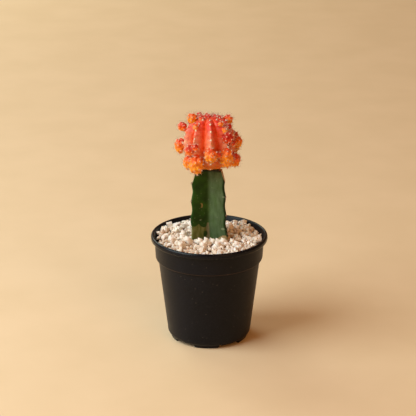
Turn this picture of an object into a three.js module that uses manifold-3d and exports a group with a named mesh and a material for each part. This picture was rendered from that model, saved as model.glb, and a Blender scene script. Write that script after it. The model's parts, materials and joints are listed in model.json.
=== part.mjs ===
// A potted moon cactus: a red and orange scion grafted on a green three-ribbed stock,
// in a black nursery pot dressed with crushed white stone.
// Millimetres, +Z up. The origin is on the pot's axis, on the surface that the feet stand on.
// The plant's front, where a valley of the stock shows, faces -Y.
import * as THREE from 'three';
import { mergeVertices } from 'three/addons/utils/BufferGeometryUtils.js';
import Module from 'manifold-3d';

const wasm = await Module();
wasm.setup();

// Pot
const potHeight = 74.4;
const rimRadius = 40;
const lipHeight = 3.9;
const lipInnerRadius = 37.8;
const bandTopRadius = 37.5;
const bandBottomRadius = 36.8;
const ledgeHeight = 57.6;
const bodyTopRadius = 35.0;
const seamRadius = 28.7;
const seamHeight = 5.2;
const undersideRadius = 27.4;
const footHeight = 2.1;
const footBottomRadius = 26.4;
const potWall = 0.95;
const potSides = 40;
const footCount = 5;
const footSpanDegrees = 38;
const footInnerRadius = 18.5;
const frontFootDegrees = -94;
const drainHoleRadius = 3;
const drainCircleRadius = 15;

// Clearance between pieces that touch
const seat = 0.3;

// Filling of the pot
const soilTop = 61.7;
const gravelWallHeight = 72.3;
const gravelMiddleHeight = 72.9;
const gravelTopLimit = 79;
const stonePitch = 4.6;
const stoneRise = 2.1;
const stoneGapDepth = 1.2;
const stoneSeed = 41;

// Stock
const stockFoot = 40;
const stockFootShare = 0.88;
const stockTop = 122.2;
const stockWaveStart = 70;
const stockSteps = 19;
const stockShift = -0.1;
// The stem's foot stands a little to the right of its upper length
const footLean = 1.3;
const leanHeight = 86;
const leanFootHeight = 71.9;
// Ribs: right, back and left as seen from the front. Their flanks are flat and their edges narrow
const ribCount = 3;
const firstRibDegrees = -33;
const ribTipRadius = 14.2;
const ribTipRadiusAtTop = 12.3;
const ribEdgeRadius = 1.15;
// Depth under the tip and half width of a rib's rounded edge, in shares of its radius
const ribEdgeSection = [[0, 0], [0.28, 0.62], [0.85, 0.9]];
const flankBulge = 0.12;
const valleyRadius = 4.2;
const wavePitch = 13.1;
const waveHeight = 0.42;
// Height of a swelling on each rib
const waveCrests = [90.3, 95.6, 99.9];
// The ribs' shoulders are pared away under the graft: direction and reach of each cut at the top
const cutFacingDegrees = [-15, 86, 200];
const cutReach = [9.6, 9.7, 9.85];
const cutSlope = 0.32;
const stockAreoleRadius = 1.1;
const stockAreoleLowest = 75;
const stockAreoleHighest = 114;

// Scion
const headBase = stockTop + 0.2;
const headMiddle = 138.6;
const headRiseAbove = 19.0;
const headDepthBelow = 16.5;
const headCrestRadius = 17.3;
// How blunt the ball is above its middle and below it: powers of the cosine of the latitude
const headShoulder = 0.55;
const headBelly = 0.65;
const headRibCount = 9;
const frontRibDegrees = 4;
const headBaseLatitude = -80;
const headCrownLatitude = 86;
const headRows = 16;
const grooveShare = 0.27;
const crownDip = 0.9;
const areoleSwell = 0.45;
const headSeed = 17;
// Across one rib, from groove to groove: share of the half width, and share of the rise to the crest
const ribSection = [[-1, 0], [-0.4, 0.68], [0, 1], [0.4, 0.68]];
// Tubercles of an offset stand at the corners of a solid, and its faces are divided further.
// The kinds are for radii up to the first number: tubercle solid, face solid, tubercle reach, hollow between
const pupKinds = [
  [2.5, new THREE.OctahedronGeometry(1, 0), new THREE.OctahedronGeometry(1, 1), 0.4, 0.76],
  [4.1, new THREE.IcosahedronGeometry(1, 0), new THREE.IcosahedronGeometry(1, 1), 0.3, 0.8],
  [9.0, new THREE.IcosahedronGeometry(1, 1), new THREE.IcosahedronGeometry(1, 3), 0.15, 0.87],
];

// Spines
const spineRadius = 0.27;
const spineLength = 2.6;

const radians = THREE.MathUtils.degToRad;
const clamp = THREE.MathUtils.clamp;
const lerp = THREE.MathUtils.lerp;

// Repeatable random numbers between 0 and 1
function seededRandom(seed) {
  let state = seed >>> 0;
  return () => {
    state = (state + 0x6d2b79f5) >>> 0;
    let mixed = Math.imul(state ^ (state >>> 15), 1 | state);
    mixed = (mixed + Math.imul(mixed ^ (mixed >>> 7), 61 | mixed)) ^ mixed;
    return ((mixed ^ (mixed >>> 14)) >>> 0) / 4294967296;
  };
}

// A closed geometry as a solid that can be cut and joined
function toSolid(geometry) {
  const bare = geometry.clone();
  bare.deleteAttribute('normal');
  bare.deleteAttribute('uv');
  const merged = mergeVertices(bare, 1e-4);
  const corners = merged.index.array;
  const kept = [];
  for (let i = 0; i < corners.length; i += 3) {
    const [a, b, c] = [corners[i], corners[i + 1], corners[i + 2]];
    if (a !== b && b !== c && c !== a) {
      kept.push(a, b, c);
    }
  }
  return new wasm.Manifold(new wasm.Mesh({
    numProp: 3,
    vertProperties: new Float32Array(merged.attributes.position.array),
    triVerts: new Uint32Array(kept),
  }));
}

function toGeometry(solid) {
  const { vertProperties, triVerts } = solid.getMesh();
  const geometry = new THREE.BufferGeometry();
  geometry.setAttribute('position', new THREE.BufferAttribute(new Float32Array(vertProperties), 3));
  geometry.setIndex(new THREE.BufferAttribute(new Uint32Array(triVerts), 1));
  geometry.computeVertexNormals();
  return geometry;
}

// Joins all the solids of a list, in pairs, so that no step works on a long chain
function joinAll(solids) {
  let row = solids;
  while (row.length > 1) {
    const next = [];
    for (let i = 0; i < row.length; i += 2) {
      next.push(i + 1 < row.length ? row[i].add(row[i + 1]) : row[i]);
    }
    row = next;
  }
  return row[0];
}

// The one large body of a solid, without loose scraps and with any sealed hollow filled
function largestBody(solid) {
  const bodies = solid.decompose();
  bodies.sort((a, b) => b.volume() - a.volume());
  return bodies[0];
}

// A profile of [radius, height] points turned round the Z axis
function turned(profile, sides) {
  const points = profile.map(([radius, height]) => new THREE.Vector2(radius, height));
  const geometry = new THREE.LatheGeometry(points, sides);
  geometry.rotateX(Math.PI / 2);
  return geometry;
}

// A closed skin through rings of points that run anticlockwise, bottom ring first, with a fan at each end
function loft(rings, bottomCentre, topCentre) {
  const perRing = rings[0].length;
  const points = rings.flat().concat([bottomCentre, topCentre]);
  const bottom = points.length - 2;
  const top = points.length - 1;
  const lastRing = (rings.length - 1) * perRing;
  const triangles = [];
  for (let j = 0; j < perRing; j += 1) {
    const next = (j + 1) % perRing;
    for (let i = 0; i < rings.length - 1; i += 1) {
      const low = i * perRing;
      const high = low + perRing;
      triangles.push(low + j, low + next, high + next);
      triangles.push(low + j, high + next, high + j);
    }
    triangles.push(bottom, next, j);
    triangles.push(top, lastRing + j, lastRing + next);
  }
  const geometry = new THREE.BufferGeometry();
  geometry.setFromPoints(points);
  geometry.setIndex(triangles);
  return geometry;
}

// A direction from the head's middle: degrees to the right of the front, and degrees up
function direction(sideDegrees, upDegrees) {
  const side = radians(sideDegrees - 90);
  const up = radians(upDegrees);
  return new THREE.Vector3(Math.cos(up) * Math.cos(side), Math.cos(up) * Math.sin(side), Math.sin(up));
}

// Moves a shape whose own axis is +Z to a place, with that axis along a direction
function aim(geometry, place, along) {
  const turn = new THREE.Quaternion().setFromUnitVectors(new THREE.Vector3(0, 0, 1), along);
  geometry.applyQuaternion(turn);
  geometry.translate(place.x, place.y, place.z);
  return geometry;
}

// Pot: the inside of the wall, from the floor up to the lip
const innerProfile = [
  [undersideRadius - 0.6, footHeight + potWall],
  [seamRadius - potWall, seamHeight + 0.5],
  [bodyTopRadius - potWall, ledgeHeight - 0.8],
  [bodyTopRadius - 0.8, ledgeHeight + 0.2],
  [bandBottomRadius - potWall, ledgeHeight + 1.5],
  [bandTopRadius - potWall, potHeight - lipHeight],
  [lipInnerRadius, potHeight - 0.8],
];

// Radius of the inside of the wall at a height
function innerRadius(height) {
  for (let i = 1; i < innerProfile.length; i += 1) {
    const [lowRadius, low] = innerProfile[i - 1];
    const [highRadius, high] = innerProfile[i];
    if (height <= high) {
      return lerp(lowRadius, highRadius, clamp((height - low) / (high - low), 0, 1));
    }
  }
  return lipInnerRadius;
}

function makePot() {
  const profile = [
    [0, footHeight],
    [undersideRadius, footHeight],
    [seamRadius - 0.4, footHeight + 1.3],
    [seamRadius, seamHeight],
    [bodyTopRadius, ledgeHeight - 0.6],
    [bodyTopRadius + 0.3, ledgeHeight],
    [bandBottomRadius - 0.3, ledgeHeight + 0.1],
    [bandBottomRadius, ledgeHeight + 0.7],
    [bandTopRadius, potHeight - lipHeight],
    [rimRadius - 0.7, potHeight - lipHeight],
    [rimRadius, potHeight - lipHeight + 0.9],
    [rimRadius, potHeight - 1.0],
    [rimRadius - 0.6, potHeight - 0.2],
    [rimRadius - 1.2, potHeight],
    [lipInnerRadius + 0.4, potHeight - 0.2],
  ];
  for (const point of [...innerProfile].reverse()) {
    profile.push(point);
  }
  profile.push([0, footHeight + potWall]);
  let pot = toSolid(turned(profile, potSides));

  // The feet taper in towards the floor
  const draft = toSolid(turned([
    [0, 0],
    [footBottomRadius, 0],
    [undersideRadius, footHeight],
    [undersideRadius, footHeight + potWall],
    [0, footHeight + potWall],
  ], potSides));

  for (let i = 0; i < footCount; i += 1) {
    const middle = frontFootDegrees + (i * 360) / footCount;
    const start = radians(middle - footSpanDegrees / 2);
    const end = radians(middle + footSpanDegrees / 2);
    const outline = new THREE.Shape();
    outline.absarc(0, 0, undersideRadius + 1, start, end, false);
    outline.absarc(0, 0, footInnerRadius, end, start, true);
    const foot = new THREE.ExtrudeGeometry(outline, {
      depth: footHeight + potWall / 2,
      bevelEnabled: false,
      curveSegments: 5,
    });
    pot = pot.add(toSolid(foot).intersect(draft));

    const holeAngle = radians(middle + 180 / footCount);
    const hole = new THREE.CylinderGeometry(drainHoleRadius, drainHoleRadius, 6, 12);
    hole.rotateX(Math.PI / 2);
    hole.translate(
      drainCircleRadius * Math.cos(holeAngle),
      drainCircleRadius * Math.sin(holeAngle),
      footHeight,
    );
    pot = pot.subtract(toSolid(hole));
  }
  return pot;
}

// Stock: tip radius of a rib at a height, with the swellings that carry the areoles
function ribTip(rib, height) {
  const narrowing = clamp((height - leanFootHeight) / (stockTop - leanFootHeight), 0, 1);
  const plain = lerp(ribTipRadius, ribTipRadiusAtTop, narrowing);
  const phase = (height - waveCrests[rib]) / wavePitch;
  return plain + waveHeight * Math.cos(phase * 2 * Math.PI);
}

// Sideways place of the stem's axis at a height
function stockAxis(height) {
  const share = clamp((leanHeight - height) / (leanHeight - leanFootHeight), 0, 1);
  return stockShift + footLean * share * share;
}

// One level of the stock: for each rib its valley, flank, rounded edge and flank, all grown by a margin
function stockRing(height, margin, waves) {
  const points = [];
  for (let rib = 0; rib < ribCount; rib += 1) {
    const tip = (waves ? ribTip(rib, height) : ribTipRadius + waveHeight) + margin;
    const edge = ribEdgeRadius + margin;
    const valley = valleyRadius + margin;
    const root = [valley * Math.cos(Math.PI / ribCount), valley * Math.sin(Math.PI / ribCount)];
    const half = ribEdgeSection.map(([depth, width]) => [tip - depth * edge, width * edge]);
    const brow = half[half.length - 1];
    half.push([lerp(root[0], brow[0], 0.5), lerp(root[1], brow[1], 0.5) + flankBulge]);
    const section = [
      [root[0], -root[1]],
      ...half.slice(1).reverse().map(([along, across]) => [along, -across]),
      ...half,
    ];
    const angle = radians(firstRibDegrees + (rib * 360) / ribCount);
    const turn = radians(cutFacingDegrees[rib]) - angle;
    const cut = cutReach[rib] + cutSlope * (stockTop - height);
    for (const [along, across] of section) {
      const over = Math.max(0, along * Math.cos(turn) + across * Math.sin(turn) - cut);
      const held = waves ? along - over / Math.cos(turn) : along;
      points.push(new THREE.Vector3(
        stockAxis(height) + held * Math.cos(angle) - across * Math.sin(angle),
        held * Math.sin(angle) + across * Math.cos(angle),
        height,
      ));
    }
  }
  return points;
}

function makeStock() {
  const heights = [stockFoot + 1.5, 56, 66];
  for (let i = 0; i <= stockSteps; i += 1) {
    heights.push(lerp(stockWaveStart, stockTop, i / stockSteps));
  }
  const rings = heights.map((height) => stockRing(height, 0, true));
  const axis = stockAxis(stockFoot);
  const footRing = rings[0].map(({ x, y }) => (
    new THREE.Vector3(lerp(axis, x, stockFootShare), y * stockFootShare, stockFoot)
  ));
  rings.unshift(footRing);
  const skin = loft(rings, new THREE.Vector3(axis, 0, stockFoot), new THREE.Vector3(stockShift, 0, stockTop));

  const pieces = [toSolid(skin)];
  for (let rib = 0; rib < ribCount; rib += 1) {
    const angle = radians(firstRibDegrees + (rib * 360) / ribCount);
    const outward = new THREE.Vector3(Math.cos(angle), Math.sin(angle), 0);
    for (let step = -2; step <= 2; step += 1) {
      const height = waveCrests[rib] + step * wavePitch;
      if (height > stockAreoleLowest && height < stockAreoleHighest) {
        const areole = new THREE.OctahedronGeometry(stockAreoleRadius, 0);
        areole.scale(1, 0.8, 1.2);
        const place = outward.clone().multiplyScalar(ribTip(rib, height) - 0.3);
        place.x += stockAxis(height);
        place.z = height;
        areole.rotateZ(angle);
        areole.translate(place.x, place.y, place.z);
        pieces.push(toSolid(areole));
      }
    }
  }
  return joinAll(pieces);
}

// The plain hole that the stock stands in, through the soil and the gravel
function makeStockHole() {
  const heights = [stockFoot - seat, leanFootHeight, 74, 76, gravelTopLimit];
  const rings = heights.map((height) => stockRing(height, seat, false));
  const top = new THREE.Vector3(stockAxis(gravelTopLimit), 0, gravelTopLimit);
  return toSolid(loft(rings, new THREE.Vector3(stockAxis(stockFoot), 0, heights[0]), top));
}

function makeSoil(hole) {
  // Where the wall slopes out over the ledge, a small lift keeps the soil clear of it
  const lift = seat * 0.6;
  const profile = [[0, footHeight + potWall + seat]];
  for (const [radius, height] of innerProfile) {
    if (height < soilTop) {
      profile.push([radius - seat, height + lift]);
    }
  }
  profile[1][1] = footHeight + potWall + seat;
  profile.push([innerRadius(soilTop) - seat, soilTop]);
  profile.push([0, soilTop]);
  return toSolid(turned(profile, potSides)).subtract(hole);
}

// Height of the gravel between its stones: heaped a little round the stock
function gravelHeight(radius) {
  const share = clamp(radius / innerRadius(gravelWallHeight), 0, 1);
  return lerp(gravelMiddleHeight, gravelWallHeight, share * share);
}

// The stones as broken blocks over the whole bed: each has a tilted top of its own,
// and its four sides run down to corners in the gaps, which it shares with its neighbours
function makeStoneField() {
  const random = seededRandom(stoneSeed);
  const count = Math.ceil((2 * rimRadius) / stonePitch);
  const start = (-count * stonePitch) / 2;
  const bedBottom = soilTop - 1;
  const gaps = [];
  for (let i = 0; i <= count; i += 1) {
    for (let j = 0; j <= count; j += 1) {
      const waveX = 0.7 * Math.sin(j * 0.9 + 0.6 * i) + 0.5 * Math.sin(j * 2.3);
      const waveY = 0.7 * Math.sin(i * 0.8 - 0.5 * j + 1) + 0.5 * Math.sin(i * 2.1 + 2);
      const inside = i > 0 && j > 0 && i < count && j < count ? 1 : 0;
      const x = start + (i + 0.5 * inside * waveX + 0.5 * (random() - 0.5)) * stonePitch;
      const y = start + (j + 0.5 * inside * waveY + 0.5 * (random() - 0.5)) * stonePitch;
      const depth = stoneGapDepth * (0.6 + 0.7 * random());
      gaps.push(new THREE.Vector3(x, y, gravelHeight(Math.hypot(x, y)) - depth));
    }
  }
  const points = [...gaps];
  const triangles = [];
  const across = count + 1;
  for (let i = 0; i < count; i += 1) {
    for (let j = 0; j < count; j += 1) {
      const low = [i * across + j, (i + 1) * across + j, (i + 1) * across + j + 1, i * across + j + 1];
      const middle = new THREE.Vector3();
      low.forEach((place) => middle.addScaledVector(gaps[place], 0.25));
      const spread = 0.55 + 0.2 * random();
      const rise = stoneRise * (0.45 + 0.8 * random());
      const tilt = new THREE.Vector2(random() - 0.5, random() - 0.5).multiplyScalar(0.7);
      const first = points.length;
      for (const place of low) {
        const corner = gaps[place].clone().lerp(middle, 1 - spread - 0.15 * random());
        const lean = tilt.x * (corner.x - middle.x) + tilt.y * (corner.y - middle.y);
        corner.z = middle.z + rise + lean;
        points.push(corner);
      }
      triangles.push(first, first + 1, first + 2, first, first + 2, first + 3);
      for (let k = 0; k < 4; k += 1) {
        const next = (k + 1) % 4;
        triangles.push(low[k], low[next], first + next, low[k], first + next, first + k);
      }
    }
  }

  // Sides and underside of the block that the stones cover
  const edge = [];
  for (let k = 0; k < count; k += 1) {
    edge.push(k * across);
  }
  for (let k = 0; k < count; k += 1) {
    edge.push(count * across + k);
  }
  for (let k = count; k > 0; k -= 1) {
    edge.push(k * across + count);
  }
  for (let k = count; k > 0; k -= 1) {
    edge.push(k);
  }
  const under = points.length;
  edge.forEach((place) => points.push(new THREE.Vector3(points[place].x, points[place].y, bedBottom)));
  const centre = points.length;
  points.push(new THREE.Vector3(0, 0, bedBottom));
  edge.forEach((place, k) => {
    const next = (k + 1) % edge.length;
    triangles.push(under + k, under + next, edge[next], under + k, edge[next], place);
    triangles.push(centre, under + next, under + k);
  });
  const geometry = new THREE.BufferGeometry();
  geometry.setFromPoints(points);
  geometry.setIndex(triangles);
  return toSolid(geometry);
}

function makeGravel(hole) {
  const bedBottom = soilTop + seat;
  const space = [
    [0, bedBottom],
    [innerRadius(bedBottom) - seat, bedBottom],
    [innerRadius(potHeight - lipHeight) - seat, potHeight - lipHeight],
    [lipInnerRadius - seat, potHeight - 0.8],
    [lipInnerRadius - seat, gravelTopLimit - 1],
    [0, gravelTopLimit - 1],
  ];
  const inside = toSolid(turned(space, potSides));
  return largestBody(makeStoneField().intersect(inside).subtract(hole));
}

// Scion: radius of a rib's crest and of the groove beside it, at a latitude on the head
function headCrest(latitude) {
  const bluntness = latitude > 0 ? headShoulder : headBelly;
  return headCrestRadius * Math.cos(radians(latitude)) ** bluntness;
}

function headGroove(latitude) {
  const fade = latitude < 0 ? lerp(1, 0.55, -latitude / -headBaseLatitude) : 1;
  return headCrest(latitude) * (1 - grooveShare * fade);
}

function headHeight(latitude) {
  const reach = latitude > 0 ? headRiseAbove : headDepthBelow;
  return headMiddle + reach * Math.sin(radians(latitude));
}

function rowLatitude(row) {
  return lerp(headBaseLatitude, headCrownLatitude, row / headRows);
}

// A three-sided spine whose root is sunk into the middle of one face of what it grows from
function makeSpine([tip, left, right], along, length) {
  const sunk = 0.5;
  const spine = new THREE.ConeGeometry(spineRadius, length + sunk, 3, 1);
  spine.rotateX(Math.PI / 2);
  spine.translate(0, 0, (length + sunk) / 2 - sunk);
  const root = tip.clone().multiplyScalar(0.4);
  root.addScaledVector(left, 0.3);
  root.addScaledVector(right, 0.3);
  return toSolid(aim(spine, root, along));
}

// The ribbed body of the head, swollen at each areole
function makeHeadRings() {
  const rings = [];
  for (let row = 0; row <= headRows; row += 1) {
    const latitude = rowLatitude(row);
    const swell = row % 2 === 1 && row > 2 ? areoleSwell : 0;
    const ring = [];
    for (let rib = 0; rib < headRibCount; rib += 1) {
      for (const [share, flank] of ribSection) {
        const side = frontRibDegrees + ((2 * rib + share) * 180) / headRibCount - 90;
        const crest = headCrest(latitude) + (share === 0 ? swell : 0);
        const radius = lerp(headGroove(latitude), crest, flank);
        ring.push(new THREE.Vector3(
          radius * Math.cos(radians(side)),
          radius * Math.sin(radians(side)),
          row === 0 ? headBase : headHeight(latitude),
        ));
      }
    }
    rings.push(ring);
  }
  return rings;
}

// Two spines beside each areole of the ribs, where no offset covers it
function makeRibSpines(rings, pups, random) {
  const spines = [];
  const perRib = ribSection.length;
  for (let rib = 0; rib < headRibCount; rib += 1) {
    for (let row = 3; row < headRows; row += 2) {
      const crestPlace = rib * perRib + ribSection.findIndex(([share]) => share === 0);
      const tip = rings[row][crestPlace];
      const side = frontRibDegrees + (360 * rib) / headRibCount;
      for (const lean of [-1, 1]) {
        const near = rings[row][crestPlace + lean];
        const far = lean > 0 ? rings[row + 1][crestPlace + 1] : rings[row - 1][crestPlace - 1];
        const along = direction(side, rowLatitude(row));
        along.addScaledVector(direction(side + 90, 0), 0.7 * lean);
        along.z += 0.5 * (random() - 0.5);
        const length = spineLength * (0.7 + 0.4 * random());
        if (pups.every((pup) => pup.centre.distanceTo(tip) > pup.radius + 0.9)) {
          spines.push(makeSpine([tip, near, far], along.normalize(), length));
        }
      }
    }
  }
  return spines;
}

// An offset: a small ball raised to a tubercle at each corner of a solid, with spines on those that face out
function makePup({ centre, outward, radius, tall }, random) {
  const [, tubercleSolid, faceSolid, reach, hollow] = pupKinds.find(([limit]) => radius <= limit);
  const tubercles = corners(tubercleSolid);
  const faces = corners(faceSolid);
  const turn = new THREE.Quaternion().setFromEuler(new THREE.Euler(random() * 6, random() * 6, random() * 6));
  const firstFace = new Map();
  for (let i = 0; i < faces.length; i += 1) {
    const tubercle = tubercles.find((corner) => faces[i].angleTo(corner) < reach);
    if (tubercle && !firstFace.has(tubercle)) {
      firstFace.set(tubercle, i);
    }
    faces[i].multiplyScalar(tubercle ? radius : radius * hollow);
  }
  for (const point of faces) {
    point.applyQuaternion(turn);
    point.z *= tall;
    point.add(centre);
  }
  const pieces = [toSolid(new THREE.BufferGeometry().setFromPoints(faces))];
  for (const [tubercle, i] of firstFace) {
    const along = tubercle.clone().applyQuaternion(turn);
    const length = spineLength * (0.45 + 0.3 * random());
    if (along.dot(outward) > 0.15) {
      const start = i - (i % 3);
      const others = [0, 1, 2].filter((k) => start + k !== i).map((k) => faces[start + k]);
      pieces.push(makeSpine([faces[i], ...others], along, length));
    }
  }
  return pieces;
}

// The corners of a polyhedron's faces, three to a face, on the unit ball
function corners(geometry) {
  const position = geometry.attributes.position;
  const points = [];
  for (let i = 0; i < position.count; i += 1) {
    points.push(new THREE.Vector3().fromBufferAttribute(position, i).normalize());
  }
  return points;
}

// A short neck that carries an offset which stands off the head
function makeNeck({ centre, outward, radius, reach }) {
  const length = reach - headCrestRadius * 0.7;
  const neck = new THREE.CylinderGeometry(radius * 0.55, radius * 0.75, length, 6, 1);
  neck.rotateX(Math.PI / 2);
  neck.translate(0, 0, -length / 2);
  return toSolid(aim(neck, centre, outward));
}

// Offsets on the front and sides: degrees to the right, degrees up, distance out, radius, height to width
const frontPups = [
  [-100, 32, 21.7, 3.3, 1],
  [-94, -4.5, 19.3, 4.4, 1.3],
  [-30.5, -30, 19.6, 5.2, 1.35],
  [-55, -30, 19.5, 3.8, 1.4],
  [-46, -1, 18.1, 3.1, 1.25],
  [-31, 8, 18, 2.2, 1.1],
  [3.5, -7, 18.5, 4.7, 1.1],
  [20, -8, 17.9, 2.1, 1],
  [40, -17, 18.8, 4.9, 1.45],
  [78, -29, 20.2, 4.1, 1.25],
  [90, 5, 19.1, 3.5, 1.25],
  [48, 27, 18.8, 3.8, 1.2],
  [60, 12, 17.8, 2.6, 1],
  [62, 44, 20.5, 2.2, 1],
  [45, 41, 19.9, 2, 1.3],
  [41, 55, 20.8, 1.9, 1],
  [122, 45, 21.3, 3.5, 1],
  [144, 45, 20.2, 2.1, 1],
  [154, 48, 20.5, 2, 1],
  [166, 49, 20.5, 2.1, 1],
  [185, 50, 20.7, 2.3, 1],
  [-144, 57, 21, 2, 1.2],
  [-83, 58, 21.9, 3.7, 1],
  [-84, 63, 21.3, 2, 1],
  [-55, 72, 20.3, 2, 1],
  [-41, 47, 20.3, 1.8, 1.5],
  [-120, 43, 20.1, 1.8, 1],
  [180, 83, 18.6, 2, 1],
  [125, 75, 19, 1.8, 1],
  [110, 68, 19.3, 1.9, 1],
  [-117, 71, 19.3, 1.9, 1],
];

// Offsets on the back, spread evenly by two steady fractions, the larger ones lower down
const backPupCount = 12;
const backSideStep = 0.7549;
const backRiseStep = 0.5698;

function makeHead() {
  const random = seededRandom(headSeed);
  const places = [...frontPups];
  for (let i = 1; i <= backPupCount; i += 1) {
    const rise = (i * backRiseStep) % 1;
    const radius = lerp(4.9, 2.3, rise) * (0.85 + 0.3 * random());
    const side = lerp(108, 252, (i * backSideStep) % 1);
    places.push([side, lerp(-38, 50, rise), headCrestRadius + 0.35 * radius, radius, 1]);
  }
  const middle = new THREE.Vector3(0, 0, headMiddle);
  const pups = places.map(([side, up, reach, radius, tall]) => {
    const outward = direction(side, up);
    return { outward, reach, radius, tall, centre: outward.clone().multiplyScalar(reach).add(middle) };
  });

  const rings = makeHeadRings();
  const crown = new THREE.Vector3(0, 0, headHeight(headCrownLatitude) - crownDip);
  const pieces = [toSolid(loft(rings, new THREE.Vector3(0, 0, headBase), crown))];
  pieces.push(...makeRibSpines(rings, pups, random));
  for (const pup of pups) {
    pieces.push(...makePup(pup, random));
    if (pup.reach > headCrestRadius + 0.6 * pup.radius) {
      pieces.push(makeNeck(pup));
    }
  }
  return largestBody(joinAll(pieces));
}

const materials = {
  pot: new THREE.MeshStandardMaterial({ color: 0x2a2624, roughness: 0.5, metalness: 0 }),
  soil: new THREE.MeshStandardMaterial({ color: 0x3b2a20, roughness: 0.95, metalness: 0 }),
  gravel: new THREE.MeshStandardMaterial({ color: 0xefe2d4, roughness: 0.8, metalness: 0 }),
  stock: new THREE.MeshStandardMaterial({ color: 0x3a5420, roughness: 0.5, metalness: 0 }),
  scion: new THREE.MeshStandardMaterial({ color: 0xe8583a, roughness: 0.45, metalness: 0 }),
};

const group = new THREE.Group();

function addPart(name, solid, material) {
  const mesh = new THREE.Mesh(toGeometry(solid), material);
  mesh.name = name;
  group.add(mesh);
}

const hole = makeStockHole();
addPart('nursery_pot', makePot(), materials.pot);
addPart('potting_soil', makeSoil(hole), materials.soil);
addPart('stone_dressing', makeGravel(hole), materials.gravel);
addPart('green_stock', makeStock(), materials.stock);
addPart('grafted_head', makeHead(), materials.scion);

export default group;
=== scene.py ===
# A potted moon cactus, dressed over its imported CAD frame: nursery pot, stones, stock, scion and spines.
import json
import math
import random

import bpy
import numpy as np
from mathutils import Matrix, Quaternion, Vector, noise
from mathutils.bvhtree import BVHTree

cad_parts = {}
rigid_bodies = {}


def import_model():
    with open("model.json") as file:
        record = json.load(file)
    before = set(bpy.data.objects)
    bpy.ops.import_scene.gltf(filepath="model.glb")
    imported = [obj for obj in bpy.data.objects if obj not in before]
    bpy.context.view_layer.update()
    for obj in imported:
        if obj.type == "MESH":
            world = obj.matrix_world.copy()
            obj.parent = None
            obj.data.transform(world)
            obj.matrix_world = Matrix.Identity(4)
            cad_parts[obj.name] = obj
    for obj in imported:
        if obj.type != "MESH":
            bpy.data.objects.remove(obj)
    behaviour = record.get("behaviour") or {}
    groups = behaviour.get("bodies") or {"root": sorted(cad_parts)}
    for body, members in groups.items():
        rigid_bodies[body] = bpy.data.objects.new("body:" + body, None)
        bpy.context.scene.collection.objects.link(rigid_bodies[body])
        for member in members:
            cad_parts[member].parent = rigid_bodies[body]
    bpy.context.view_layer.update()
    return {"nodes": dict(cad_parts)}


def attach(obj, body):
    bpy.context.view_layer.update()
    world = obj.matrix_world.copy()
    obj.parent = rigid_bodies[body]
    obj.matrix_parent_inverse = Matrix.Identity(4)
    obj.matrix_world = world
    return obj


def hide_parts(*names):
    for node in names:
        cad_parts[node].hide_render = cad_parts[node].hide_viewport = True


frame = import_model()
mm = 0.001
goldenAngle = math.pi * (3 - math.sqrt(5))      # from one tubercle or spine to the next, as plants grow them


# Helpers for colours, nodes and pieces
def hexColour(code):  # sRGB hex to the linear colour that a shader takes
    parts = [int(code[i:i + 2], 16) / 255 for i in (1, 3, 5)]
    return [c / 12.92 if c <= 0.04045 else ((c + 0.055) / 1.055) ** 2.4 for c in parts] + [1.0]


def perMm(size):  # a texture's scale, from the real size of its pattern in millimetres
    return 1 / (size * mm)


def connect(tree, node, links):  # a socket takes a value or a link, and a node means its first output in use
    for name, value in links.items():
        if isinstance(value, bpy.types.Node):
            value = next(output for output in value.outputs if output.enabled)
        if isinstance(value, str) and value.startswith("#"):
            value = hexColour(value)
        if isinstance(value, bpy.types.NodeSocket):
            tree.links.new(value, node.inputs[name])
        else:
            node.inputs[name].default_value = value


def addNode(tree, kind, links=None, stops=None, **settings):
    node = tree.nodes.new(kind)
    for name, value in settings.items():
        setattr(node, name, value)
    connect(tree, node, links or {})
    if stops:  # a colour ramp's stops, as place and hex colour
        ramp = node.color_ramp
        while len(ramp.elements) < len(stops):
            ramp.elements.new(1.0)
        for element, (place, colour) in zip(ramp.elements, stops):
            element.position = place
            element.color = hexColour(colour)
    return node


def newMaterial(name):
    material = bpy.data.materials.new(name)
    material.use_nodes = True
    return material, material.node_tree, material.node_tree.nodes["Principled BSDF"]


def newTree(name, inputs):  # a Geometry Nodes tree with named inputs, given as label: (socket kind, value)
    tree = bpy.data.node_groups.new(name, "GeometryNodeTree")
    tree.interface.new_socket("Geometry", in_out="INPUT", socket_type="NodeSocketGeometry")
    tree.interface.new_socket("Geometry", in_out="OUTPUT", socket_type="NodeSocketGeometry")
    for label, (kind, value) in inputs.items():
        socket = tree.interface.new_socket(label, in_out="INPUT", socket_type="NodeSocket" + kind)
        socket.default_value = value
    return tree, addNode(tree, "NodeGroupInput").outputs


def newPiece(name, mesh, smooth=True):
    piece = bpy.data.objects.new(name, mesh)
    bpy.context.scene.collection.objects.link(piece)
    if smooth:
        mesh.shade_smooth()
    return piece


def meshFrom(name, points, faces):
    mesh = bpy.data.meshes.new(name)
    mesh.from_pydata([tuple(p) for p in points], [], [tuple(f) for f in faces])
    mesh.update()
    return mesh


def storeOnPoints(mesh, name, values, kind="FLOAT"):
    layer = mesh.attributes.new(name, kind, "POINT")
    slot = "vector" if kind == "FLOAT_VECTOR" else "value"
    layer.data.foreach_set(slot, np.asarray(values, np.float32).ravel())


def keepResult(piece):  # its modifiers' result becomes its plain mesh
    depsgraph = bpy.context.evaluated_depsgraph_get()
    mesh = bpy.data.meshes.new_from_object(piece.evaluated_get(depsgraph), preserve_all_data_layers=True,
                                           depsgraph=depsgraph)
    piece.modifiers.clear()
    piece.data = mesh
    return mesh


def growPiece(name, start, tree, values, smooth=True):  # runs a tree on a mesh and keeps the result
    piece = newPiece(name, start, smooth=False)
    modifier = piece.modifiers.new(tree.name, "NODES")
    modifier.node_group = tree
    for item in tree.interface.items_tree:
        if item.in_out == "INPUT" and item.name in values:
            modifier[item.identifier] = values[item.name]
    mesh = keepResult(piece)
    mesh.name = name
    if smooth:
        mesh.shade_smooth()
    return piece


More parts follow.
